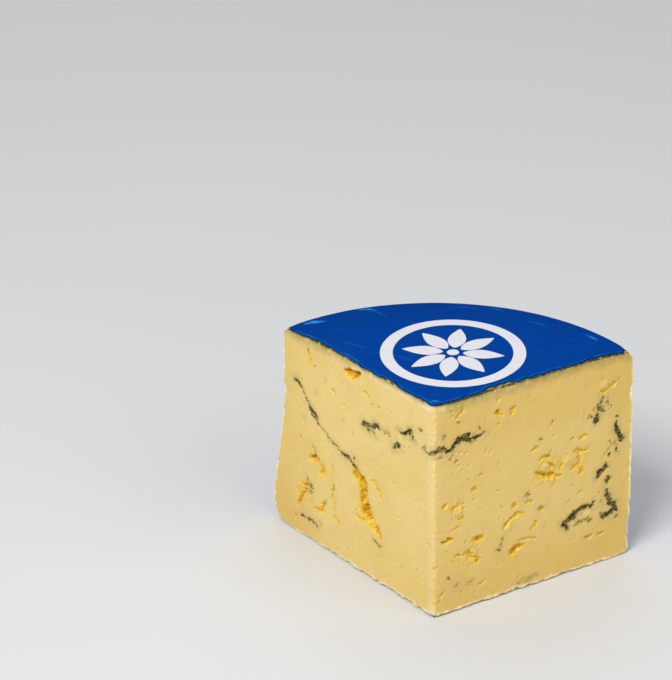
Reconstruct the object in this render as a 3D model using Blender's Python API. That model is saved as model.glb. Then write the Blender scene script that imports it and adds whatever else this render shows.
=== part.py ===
"""A wedge of blue cheese, cut from a foil-wrapped wheel and standing on its base.

Metres, +Z up. The wedge points towards -Y and the wheel's rim is at +Y. The
base foil lies on z = 0, with the origin under the middle of the bounding box.
On a cut face, a place is given by its distance from the wheel's axis and its
height above the base, and sizes on the faces are in millimetres.
"""

import math

import bmesh
import bpy
from mathutils import Matrix, Vector, noise

MM = 0.001

# Driving dimensions
WHEEL_RADIUS = 0.100
WHEEL_HEIGHT = 0.104
OPENING = math.radians(99)
FOIL = 0.4 * MM
GAP = 0.3 * MM

# Rim: a top that dips towards a tight shoulder, an upright side and a soft foot
TOP_FLAT = 0.62 * WHEEL_RADIUS
TOP_DROP = 0.015 * WHEEL_HEIGHT
SHOULDER = 0.040 * WHEEL_RADIUS
FOOT_WIDTH = 0.07 * WHEEL_RADIUS
FOOT_HEIGHT = 0.038 * WHEEL_HEIGHT
TOP_STEPS = 5
SHOULDER_STEPS = 5
SIDE_STEPS = 8
FOOT_STEPS = 4

# Slump: the ripe cheese swells a little below the shoulder and spreads low down, most at the
# left cut, and is tucked in again at the foot
SWELL = 0.7 * MM
SWELL_FADE = 0.14 * WHEEL_HEIGHT
SLUMP_LEFT = 11.0 * MM
SLUMP_RIGHT = 0.8 * MM
SLUMP_TOP = 0.72 * WHEEL_HEIGHT
SLUMP_EASE = 1.2
TUCK = 0.5
TUCK_HEIGHT = 0.05 * WHEEL_HEIGHT

# Pleats: upright folds of the foil round the rim, each leaning its own way. Widths, shifts
# and leans are shares of the pitch, and the fades are heights over which a pleat dies out
PLEATS = 11
PLEAT_RISE = 1.1 * MM
PLEAT_UNEVEN = 0.3
PLEAT_SHARE = 0.30
PLEAT_SHIFT = 0.18
PLEAT_LEAN = 0.45
PLEAT_SEED = 7.3
LEAN_STRIDE = 1.7
RISE_STRIDE = 2.3
PLEAT_TOP_FADE = 0.22 * WHEEL_HEIGHT
PLEAT_FOOT_FADE = 0.12 * WHEEL_HEIGHT

# Cheese
PASTE_STEPS = 22
POINT_ROUNDING = 1.5 * MM
POINT_STEPS = 3

# Hollows with rough walls: axis distance, height, width, tall, depth, tilt in degrees
LEFT_PITS = (
    (54.5, 97.4, 6.4, 4.6, 4.0, 0),
    (49.6, 97.2, 5.0, 3.4, 3.0, 0),
    (81.0, 44.2, 5.6, 4.8, 4.2, 10),
    (75.6, 39.2, 3.2, 4.0, 2.6, 20),
    (86.2, 27.8, 4.4, 7.6, 4.0, -15),
    (91.6, 17.8, 3.2, 6.0, 2.4, -20),
    (77.5, 19.4, 5.4, 2.8, 2.6, 30),
    (65.6, 19.2, 3.4, 3.0, 2.2, 0),
    (47.6, 46.6, 6.0, 5.6, 4.4, 0),
    (35.4, 78.0, 8.0, 3.0, 1.8, 15),
    (16.4, 83.0, 6.0, 3.6, 1.8, 0),
)
RIGHT_PITS = (
    (41.4, 19.8, 6.4, 5.2, 4.4, 15),
    (55.8, 60.0, 5.4, 8.6, 2.6, 35),
    (61.0, 53.6, 8.0, 4.2, 2.6, 0),
    (69.6, 56.6, 5.4, 8.4, 3.0, 10),
    (12.6, 50.6, 8.6, 5.6, 2.4, -10),
    (74.4, 29.6, 8.0, 3.4, 2.8, -20),
    (67.4, 25.8, 4.0, 3.6, 2.2, 0),
    (86.0, 49.0, 3.2, 8.4, 2.2, 15),
    (14.0, 27.4, 6.4, 2.8, 2.0, 0),
    (20.8, 22.8, 3.8, 6.4, 2.0, -30),
    (10.6, 84.0, 7.6, 2.6, 1.6, 0),
    (91.2, 26.0, 3.4, 6.0, 2.0, 0),
)
PIT_ROUGHNESS = 0.34
PIT_GRAIN = 900.0

# Furrows: axis distance and height of each bend, widest part and depth
LEFT_FURROWS = (
    (((92.5, 80.0), (88.0, 76.6), (82.5, 69.0), (75.0, 61.5), (63.6, 56.2), (53.0, 52.2)), 1.6, 2.2),
    (((55.0, 53.0), (50.6, 48.6), (46.8, 45.0), (45.8, 39.0), (43.6, 32.4), (36.4, 23.6)), 5.0, 4.6),
    (((40.4, 50.4), (37.4, 47.4), (34.4, 44.2)), 1.8, 1.6),
    (((68.4, 47.0), (68.0, 40.0), (67.2, 31.0), (68.2, 23.0)), 1.4, 1.4),
)
RIGHT_FURROWS = (
    (((83.0, 31.4), (75.8, 30.4), (66.4, 24.4)), 2.2, 2.6),
    (((73.0, 24.8), (77.0, 24.4), (81.6, 21.8)), 1.8, 1.8),
    (((89.6, 58.2), (87.0, 52.0), (84.4, 45.2), (89.4, 41.8)), 2.0, 2.0),
    (((50.0, 69.4), (54.4, 62.4), (60.4, 56.6), (57.4, 52.6)), 2.4, 2.4),
    (((43.6, 40.6), (39.4, 39.2), (35.2, 35.4)), 1.8, 1.6),
)

# A furrow's cutter stands off the cut face at its sides, and more along its middle
FURROW_LIFT = 0.3
FURROW_CREST = 1.2

# Colour, roughness and metalness of each node, and the angle from which an edge is sharp
PASTE_LOOK = ((0.79, 0.58, 0.22, 1.0), 0.55, 0.0)
FOIL_LOOK = ((0.003, 0.055, 0.30, 1.0), 0.38, 0.9)
SHARP_ANGLE = math.radians(32)


def clear_scene():
    for old in list(bpy.data.objects):
        bpy.data.objects.remove(old)


def finish(name, look):
    """A plain material for one node."""
    colour, roughness, metallic = look
    material = bpy.data.materials.new(name)
    material.use_nodes = True
    shader = material.node_tree.nodes["Principled BSDF"]
    shader.inputs["Base Color"].default_value = colour
    shader.inputs["Roughness"].default_value = roughness
    shader.inputs["Metallic"].default_value = metallic
    return material


def rim_outline():
    """Half-section of the wrapped wheel: along the top, round the rim and back under it."""
    dip = math.atan2(2 * TOP_DROP, WHEEL_RADIUS - SHOULDER - TOP_FLAT)
    edge = WHEEL_RADIUS - SHOULDER + SHOULDER * math.sin(dip)
    shoulder_z = WHEEL_HEIGHT - TOP_DROP - SHOULDER * math.cos(dip)
    points = [Vector((0.0, WHEEL_HEIGHT))]
    for step in range(TOP_STEPS + 1):
        part = step / TOP_STEPS
        points.append(Vector((TOP_FLAT + (edge - TOP_FLAT) * part, WHEEL_HEIGHT - TOP_DROP * part ** 2)))
    for step in range(1, SHOULDER_STEPS + 1):
        angle = (math.pi / 2 - dip) * (1 - step / SHOULDER_STEPS)
        reach = WHEEL_RADIUS - SHOULDER + SHOULDER * math.cos(angle)
        points.append(Vector((reach, shoulder_z + SHOULDER * math.sin(angle))))
    for step in range(1, SIDE_STEPS + 1):
        height = shoulder_z + (FOOT_HEIGHT - shoulder_z) * step / SIDE_STEPS
        points.append(Vector((WHEEL_RADIUS, height)))
    for step in range(1, FOOT_STEPS + 1):
        angle = math.pi / 2 * step / FOOT_STEPS
        reach = WHEEL_RADIUS - FOOT_WIDTH + FOOT_WIDTH * math.cos(angle)
        points.append(Vector((reach, FOOT_HEIGHT * (1 - math.sin(angle)))))
    points.append(Vector((0.0, 0.0)))
    return points


def inset_outline(points, depth):
    """The outline moved towards the cheese by depth, square to itself; its ends stay on the axis."""
    moved = []
    last = len(points) - 1
    for index, here in enumerate(points):
        along = (points[min(index + 1, last)] - points[max(index - 1, 0)]).normalized()
        shifted = here + Vector((along.y, -along.x)) * depth
        if index in (0, last):
            shifted.x = 0.0
        moved.append(shifted)
    return moved


def smooth_step(value):
    value = min(max(value, 0.0), 1.0)
    return value * value * (3 - 2 * value)


def slump(turn, height):
    """How far the side has spread, from one cut face to the other."""
    leftward = 0.5 - turn / OPENING
    most = SLUMP_RIGHT + (SLUMP_LEFT - SLUMP_RIGHT) * max(leftward, 0.0) ** SLUMP_EASE
    swell = SWELL * smooth_step((WHEEL_HEIGHT - TOP_DROP - height) / SWELL_FADE)
    tucked = 1 - TUCK * smooth_step(1 - height / TUCK_HEIGHT)
    return (swell + most * smooth_step((SLUMP_TOP - height) / SLUMP_TOP)) * tucked


def wheel_point(reach, height, turn):
    """A point of the slumped wheel; turn runs from +Y towards +X."""
    spread = reach + slump(turn, height) * (reach / WHEEL_RADIUS) ** 2
    return Vector((spread * math.sin(turn), spread * math.cos(turn), height))


def vary(index, stride=1.0):
    """A repeatable value between -1 and 1 for one pleat."""
    return math.sin(PLEAT_SEED * (index + 1) * stride)


def pleat_columns():
    """Columns of the foil as (turn, lean, rise): a foot, a crest and a foot for each pleat."""
    pitch = OPENING / PLEATS
    columns = [(-OPENING / 2, 0.0, 0.0)]
    for index in range(PLEATS):
        middle = -OPENING / 2 + pitch * (index + 0.5 + PLEAT_SHIFT * vary(index))
        lean = pitch * PLEAT_LEAN * vary(index, LEAN_STRIDE)
        rise = PLEAT_RISE * (1 - PLEAT_UNEVEN + PLEAT_UNEVEN * vary(index, RISE_STRIDE))
        for side, share in ((-1, 0.0), (0, 1.0), (1, 0.0)):
            columns.append((middle + side * pitch * PLEAT_SHARE, lean, rise * share))
    columns.append((OPENING / 2, 0.0, 0.0))
    return columns


def pleat_height(height):
    """Pleats grow below the shoulder and die out at the foot."""
    below_shoulder = smooth_step((WHEEL_HEIGHT - SHOULDER - height) / PLEAT_TOP_FADE)
    above_foot = smooth_step((height - FOOT_HEIGHT) / PLEAT_FOOT_FADE)
    return below_shoulder * above_foot


def sheet_columns(mesh, outline, columns):
    """Vertices of one skin of the wedge, column by column, without its ends on the axis."""
    skin = []
    for turn, lean, rise in columns:
        column = []
        for spot in outline[1:-1]:
            pleat = pleat_height(spot.y)
            leaning = turn + lean * (0.5 - spot.y / WHEEL_HEIGHT) * pleat
            column.append(mesh.verts.new(wheel_point(spot.x + rise * pleat, spot.y, leaning)))
        skin.append(column)
    return skin


def join_columns(mesh, skin):
    """Faces between neighbouring columns."""
    for one, other in zip(skin, skin[1:]):
        for index in range(len(one) - 1):
            mesh.faces.new((one[index], one[index + 1], other[index + 1], other[index]))


def make_node(name, mesh, material):
    """A scene object from a closed mesh, with its faces turned outwards."""
    bmesh.ops.recalc_face_normals(mesh, faces=mesh.faces)
    data = bpy.data.meshes.new(name)
    mesh.to_mesh(data)
    mesh.free()
    data.materials.append(material)
    node = bpy.data.objects.new(name, data)
    bpy.context.scene.collection.objects.link(node)
    return node


def foil_skin(mesh, outline, columns):
    """One side of the foil, closed to the axis at the top and the base."""
    top = mesh.verts.new((0.0, 0.0, outline[0].y))
    base = mesh.verts.new((0.0, 0.0, outline[-1].y))
    skin = sheet_columns(mesh, outline, columns)
    join_columns(mesh, skin)
    for one, other in zip(skin, skin[1:]):
        mesh.faces.new((top, one[0], other[0]))
        mesh.faces.new((base, one[-1], other[-1]))
    return [[top] + column + [base] for column in skin]


def foil_wrap():
    """The foil: one thin sheet over the top, down the pleated rim and under the base."""
    outline = rim_outline()
    columns = pleat_columns()
    mesh = bmesh.new()
    outside = foil_skin(mesh, outline, columns)
    inside = foil_skin(mesh, inset_outline(outline, FOIL), columns)
    for end in (0, -1):
        outer = outside[end]
        inner = inside[end]
        for index in range(len(outer) - 1):
            mesh.faces.new((outer[index], outer[index + 1], inner[index + 1], inner[index]))
    return make_node("foil_wrap", mesh, finish("blue_foil", FOIL_LOOK))


def point_arc(mesh, height):
    """The wedge's blunted point at one height: an arc that is tangent to both cut faces."""
    centre = Vector((0.0, POINT_ROUNDING / math.sin(OPENING / 2), height))
    swing = math.pi / 2 - OPENING / 2
    arc = []
    for step in range(POINT_STEPS + 1):
        angle = swing * (2 * step / POINT_STEPS - 1)
        arc.append(mesh.verts.new(centre + Vector((math.sin(angle), -math.cos(angle), 0.0)) * POINT_ROUNDING))
    return arc


def whole_paste():
    """The cheese before any hollow is cut: a slumped sector with a blunted point."""
    outline = inset_outline(rim_outline(), FOIL + GAP)
    columns = [(OPENING * (step / PASTE_STEPS - 0.5), 0.0, 0.0) for step in range(PASTE_STEPS + 1)]
    mesh = bmesh.new()
    skin = sheet_columns(mesh, outline, columns)
    join_columns(mesh, skin)
    top_arc = point_arc(mesh, outline[0].y)
    base_arc = point_arc(mesh, outline[-1].y)
    mesh.faces.new([column[0] for column in skin] + top_arc[::-1])
    mesh.faces.new([column[-1] for column in skin] + base_arc[::-1])
    for end in (0, -1):
        mesh.faces.new([top_arc[end]] + skin[end] + [base_arc[end]])
    for step in range(POINT_STEPS):
        mesh.faces.new((top_arc[step], top_arc[step + 1], base_arc[step + 1], base_arc[step]))
    return make_node("cheese_paste", mesh, finish("cheese", PASTE_LOOK))


def face_frame(side):
    """Turns (axis distance, height, outwards) on a cut face into the wheel's own frame."""
    turn = side * OPENING / 2
    away = Vector((math.sin(turn), math.cos(turn), 0.0))
    outwards = Vector((side * math.cos(turn), -side * math.sin(turn), 0.0))
    frame = Matrix.Identity(4)
    for row in range(3):
        frame[row][0] = away[row]
        frame[row][1] = (0.0, 0.0, 1.0)[row]
        frame[row][2] = outwards[row]
    return frame


def add_cutter(hollows, mesh, name):
    """A closed cutting shape, kept in a collection of its own and not part of the wedge."""
    bmesh.ops.recalc_face_normals(mesh, faces=mesh.faces)
    data = bpy.data.meshes.new(name)
    mesh.to_mesh(data)
    mesh.free()
    cutter = bpy.data.objects.new(name, data)
    cutter.hide_render = True
    cutter.display_type = 'WIRE'
    hollows.objects.link(cutter)


def add_pit(hollows, frame, pit, name):
    """A flattened, rough-walled ball that opens on the cut face."""
    reach, height, wide, tall, depth, tilt = pit
    mesh = bmesh.new()
    bmesh.ops.create_icosphere(mesh, subdivisions=2, radius=1.0)
    placed = Matrix.Translation((reach * MM, height * MM, 0.0)) @ Matrix.Rotation(math.radians(tilt), 4, 'Z')
    scale = Vector((wide / 2 * MM, tall / 2 * MM, depth * MM))
    for vertex in mesh.verts:
        sized = Vector([a * b for a, b in zip(vertex.co, scale)])
        spot = placed @ sized
        roughness = 1 + PIT_ROUGHNESS * noise.noise(spot * PIT_GRAIN)
        vertex.co = frame @ (placed @ (sized * roughness))
    add_cutter(hollows, mesh, name)


def add_furrow(hollows, frame, furrow, name):
    """A crack: a V-shaped trench along its bends, narrowing to nothing at both ends."""
    bends, wide, depth = furrow
    points = [Vector((reach * MM, height * MM, 0.0)) for reach, height in bends]
    lift = Vector((0.0, 0.0, FURROW_LIFT * MM))
    crest = Vector((0.0, 0.0, FURROW_CREST * MM))
    mesh = bmesh.new()
    rings = []
    for index in range(1, len(points) - 1):
        along = (points[index + 1] - points[index - 1]).normalized()
        across = Vector((-along.y, along.x, 0.0)) * (wide / 2 * MM)
        corners = (points[index] + across + lift,
                   points[index] + crest,
                   points[index] - across + lift,
                   points[index] - Vector((0.0, 0.0, depth * MM)))
        rings.append([mesh.verts.new(frame @ corner) for corner in corners])
    start = mesh.verts.new(frame @ (points[0] + lift))
    end = mesh.verts.new(frame @ (points[-1] + lift))
    for corner in range(4):
        after = (corner + 1) % 4
        mesh.faces.new((start, rings[0][corner], rings[0][after]))
        mesh.faces.new((end, rings[-1][corner], rings[-1][after]))
        for ring, following in zip(rings, rings[1:]):
            mesh.faces.new((ring[corner], ring[after], following[after], following[corner]))
    add_cutter(hollows, mesh, name)


def make_hollows():
    """Every cutting shape of both cut faces."""
    hollows = bpy.data.collections.new("hollows")
    bpy.context.scene.collection.children.link(hollows)
    faces = (("left", -1, LEFT_PITS, LEFT_FURROWS), ("right", 1, RIGHT_PITS, RIGHT_FURROWS))
    for label, side, pits, furrows in faces:
        frame = face_frame(side)
        for index, pit in enumerate(pits):
            add_pit(hollows, frame, pit, f"{label}_pit_{index}")
        for index, furrow in enumerate(furrows):
            add_furrow(hollows, frame, furrow, f"{label}_furrow_{index}")
    return hollows


def carve(paste, hollows):
    """Cuts the hollows out of the cheese, applies the cut and removes the cutting shapes."""
    cut = paste.modifiers.new("hollows", 'BOOLEAN')
    cut.operation = 'DIFFERENCE'
    cut.operand_type = 'COLLECTION'
    cut.collection = hollows
    cut.solver = 'EXACT'
    graph = bpy.context.evaluated_depsgraph_get()
    carved = bpy.data.meshes.new_from_object(paste.evaluated_get(graph))
    paste.modifiers.clear()
    paste.data = carved
    for cutter in list(hollows.objects):
        bpy.data.objects.remove(cutter)
    bpy.data.collections.remove(hollows)


def centre_on_origin(nodes):
    """Moves the wheel's axis so that the origin is under the middle of the bounding box."""
    corners = [vertex.co for node in nodes for vertex in node.data.vertices]
    middle_x = (min(c.x for c in corners) + max(c.x for c in corners)) / 2
    middle_y = (min(c.y for c in corners) + max(c.y for c in corners)) / 2
    for node in nodes:
        node.data.transform(Matrix.Translation((-middle_x, -middle_y, 0.0)))


def shade(node):
    """Smooth shading between the sharp edges."""
    node.data.shade_smooth()
    node.data.set_sharp_from_angle(angle=SHARP_ANGLE)


def build():
    clear_scene()
    foil = foil_wrap()
    paste = whole_paste()
    carve(paste, make_hollows())
    centre_on_origin((foil, paste))
    shade(foil)
    shade(paste)


build()
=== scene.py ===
"""The looks of a wedge of blue cheese in foil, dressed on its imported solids.

Shapes are worked out in millimetres in the wheel's own frame: the origin is on
the wheel's axis, +Z is up and the wedge's bisector runs along +Y. put_down()
turns them into metres on the part. A place on the cut faces is (s, z), with z
the height and s the distance from the axis, negative on the left face.
"""

import math

import bpy
import numpy as np
from mathutils import Matrix, Vector, noise


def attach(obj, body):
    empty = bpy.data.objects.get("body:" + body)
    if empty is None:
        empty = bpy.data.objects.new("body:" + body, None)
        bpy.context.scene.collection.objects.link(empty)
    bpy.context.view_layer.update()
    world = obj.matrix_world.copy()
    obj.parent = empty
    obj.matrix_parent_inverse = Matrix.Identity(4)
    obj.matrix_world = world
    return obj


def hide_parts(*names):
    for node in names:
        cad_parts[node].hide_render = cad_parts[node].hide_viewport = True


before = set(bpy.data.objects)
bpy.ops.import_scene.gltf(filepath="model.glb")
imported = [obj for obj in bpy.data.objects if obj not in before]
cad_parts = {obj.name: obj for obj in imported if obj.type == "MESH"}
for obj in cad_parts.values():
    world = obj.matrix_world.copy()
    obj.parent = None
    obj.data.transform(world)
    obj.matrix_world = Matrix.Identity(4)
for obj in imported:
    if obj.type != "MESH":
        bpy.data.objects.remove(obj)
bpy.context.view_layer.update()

MM = 0.001

# The wheel and the wedge, as in the solids
RADIUS = 100.0
HEIGHT = 104.0
HALF_OPENING = math.radians(99) / 2
TOP_FLAT = 0.62 * RADIUS
TOP_DROP = 0.015 * HEIGHT
SHOULDER = 0.040 * RADIUS
FOOT_WIDTH = 0.07 * RADIUS
FOOT_HEIGHT = 0.038 * HEIGHT
SWELL = 0.7
SWELL_FADE = 0.14 * HEIGHT
SLUMP_LEFT = 11.0
SLUMP_RIGHT = 0.8
SLUMP_TOP = 0.72 * HEIGHT
SLUMP_EASE = 1.2
TUCK = 0.5
TUCK_HEIGHT = 0.05 * HEIGHT
FALL_STEPS = 40
BEND_STEPS = 25
POINT_ROUNDING = 1.5

# Where the cut faces begin beside the rounded point
POINT_START = POINT_ROUNDING / math.tan(HALF_OPENING)

# How far the cheese's rim strays outwards at the left and right cut: height, and the distance.
# It is eased in over the outermost RIM_REACH
RIM_REACH = 14.0
LEFT_RIM = ((0.0, -2.0), (1.0, -0.8), (3.8, -1.4), (6.2, -0.9), (12.0, -0.4), (17.0, -0.2), (26.0, -0.2),
            (45.0, -0.3), (60.0, 0.0), (71.5, -0.4), (75.0, 0.2), (90.0, -0.5), (97.0, -0.4), (100.6, -0.6))
RIGHT_RIM = ((0.0, 0.2), (1.2, 1.2), (2.4, 0.8), (3.6, -0.2), (7.9, -0.6), (11.2, -0.1), (14.6, -0.5),
             (19.3, -0.1), (35.5, 0.1), (48.0, 0.2), (59.8, 0.3), (70.0, 0.2), (77.7, -0.1), (81.3, -0.5),
             (84.6, -0.4), (87.0, 0.3), (90.0, 0.1), (95.2, -0.1), (98.4, -0.5), (101.1, -0.8))

# Foil: its thickness, what parts it from the cheese, and how far it stops short of the cut
# round the rim and under the base, where the cheese swells out past it
FOIL_THICKNESS = 0.2
FOIL_GAP = 0.5
FOIL_RECESS = 1.8
CHEESE_LIP = 0.06

# Pleats of the foil round the rim, as in the solids
PLEATS = 11
PLEAT_RISE = 1.1
PLEAT_UNEVEN = 0.3
PLEAT_SHARE = 0.30
PLEAT_SHIFT = 0.18
PLEAT_LEAN = 0.45
PLEAT_SEED = 7.3
LEAN_STRIDE = 1.7
RISE_STRIDE = 2.3
PLEAT_TOP_FADE = 0.22 * HEIGHT
PLEAT_FOOT_FADE = 0.12 * HEIGHT

# Rows and columns of the foil's mesh. Its columns are closest together by the cut edges, at
# EDGE_STEPS from each, and from EDGE_BAND inwards they are even
TOP_ROWS = 170
RIM_ROWS = 120
BASE_ROWS = 40
EDGE_STEPS = (0.0, 0.2, 0.4, 0.7, 1.1, 1.7, 2.6, 3.8)
EDGE_BAND = 5.0
MIDDLE_COLUMNS = 250

# The foil's cut edge on the top: reach, and how far it strays outwards past the cut. It curls
# a little, and its shape is eased in over EDGE_REACH
EDGE_REACH = 9.0
EDGE_OVERHANG = 0.3
EDGE_CURL = 0.15
LEFT_EDGE = ((0.0, 0.0), (2.5, 0.3), (5.5, -0.6), (9.0, -0.3), (13.0, 0.1), (18.0, 0.2), (21.5, 0.3),
             (24.5, -0.6), (28.0, -1.1), (30.5, -1.5), (32.0, -0.5), (34.5, 0.0), (38.0, 0.4), (41.5, -0.8),
             (44.0, 0.3), (46.0, 0.8), (49.0, -0.5), (52.5, -0.4), (57.0, -0.7), (61.0, -0.6), (63.0, -0.1),
             (66.0, -0.9), (69.5, -0.8), (72.5, -0.9), (76.0, -0.8), (79.5, -0.3), (82.0, -0.4), (86.0, 0.5),
             (89.0, 0.2), (92.5, 0.4), (96.0, 0.2))
RIGHT_EDGE = ((0.0, 0.0), (4.0, -0.5), (6.0, 0.1), (12.0, 0.0), (16.0, -0.1), (17.5, 0.8), (18.6, 0.0),
              (23.5, 0.0), (26.0, -1.2), (28.5, -2.2), (30.5, -1.1), (33.0, -1.8), (35.0, -1.3),
              (37.0, -2.1), (39.5, -0.8), (41.5, 0.5), (43.5, -0.2), (45.5, -1.0), (47.5, 0.3),
              (50.5, 0.2), (53.5, 0.7), (55.0, 0.6), (57.5, -0.2), (59.5, 0.4), (64.0, 0.2),
              (66.0, -0.6), (67.5, 0.8), (71.0, 0.4), (75.0, 0.2), (78.5, -0.7), (80.0, -0.1),
              (82.5, -0.8), (87.0, -0.6), (90.0, -0.7), (93.0, 0.0), (96.0, 0.2))

# Creases dented into the top foil, with a highlight painted along each: shine, the strength of the dent and
# highlight, then places (x, y, width) along each one
GLINT_DEPTH = 0.15
GLINTS = (
    (1.0, ((-67.0, 67.2, 0.8), (-63.5, 69.4, 2.6), (-58.5, 70.6, 0.6))),
    (0.8, ((-46.0, 83.8, 0.5), (-42.0, 85.2, 1.8), (-38.5, 84.2, 0.9))),
    (0.45, ((-40.0, 84.4, 0.8), (-33.0, 78.8, 0.3))),
    (0.22, ((-46.0, 50.5, 0.4), (-41.0, 48.6, 0.9), (-37.0, 46.8, 0.3))),
    (0.18, ((-24.0, 42.0, 0.3), (-19.0, 40.0, 0.8), (-15.0, 38.4, 0.3))),
    (0.30, ((-6.0, 92.8, 0.3), (0.0, 93.1, 1.0), (6.0, 92.9, 0.3))),
    (0.45, ((11.0, 93.8, 0.4), (14.1, 93.3, 1.2), (17.0, 92.6, 0.3))),
    (0.30, ((29.0, 83.0, 0.3), (33.7, 81.3, 1.0), (38.0, 79.0, 0.3))),
    (0.75, ((55.0, 74.5, 0.4), (57.3, 72.8, 1.4), (60.0, 70.5, 0.4))),
    (0.80, ((-1.6, 3.4, 0.5), (-0.6, 4.8, 0.8), (1.0, 4.6, 0.5))),
)

# The print on the top
PRINT_CENTRE = (1.0, 48.0)
PRINT_LIFT = 0.03
RING_OUTER = 31.0
RING_INNER = 25.6
PETALS = 8
PETAL_START = 4.2
PETAL_END = 22.0
PETAL_HALF_WIDTH = 3.9
PETAL_STEPS = 25
PETAL_ROWS = 9
BUTTON_RADIUS = 2.6
RING_STEPS = 160
BUTTON_STEPS = 40

# Camera: turned with the wheel's bisector, pitched down, rolled and shifted across the view
CAMERA_TURN = math.radians(10.93)
CAMERA_PITCH = math.radians(27.566)
CAMERA_ROLL = math.radians(-1.112)
CAMERA_DISTANCE = 1135.31
CAMERA_RIGHT = -39.42
CAMERA_UP = 119.96
FOCAL_PIXELS = 2662.06
FRAME_HEIGHT = 680
SENSOR = 36.0

# Studio, in metres: name, azimuth, elevation, distance, size and power of each softbox
SOFTBOXES = (
    ("key", -20.0, 52.0, 1.5, 0.6, 17.5),
    ("fill", 60.0, 36.0, 1.6, 1.2, 6.2),
    ("back", 195.0, 46.0, 1.8, 1.8, 8.0),
)
WORLD_COLOUR = (0.95, 0.97, 1.0, 1.0)
WORLD_STRENGTH = 0.36
FLOOR_REACH = 4.0
FLOOR_PALE = (0.62, 0.625, 0.63, 1.0)
FLOOR_PALER = (0.65, 0.65, 0.65, 1.0)

# Cells of the cheese's surface: along a cut face, up it, and round the point and the rim
CELLS_OUT = 240
CELLS_UP = 248
CELLS_ROUND = 12

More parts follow.
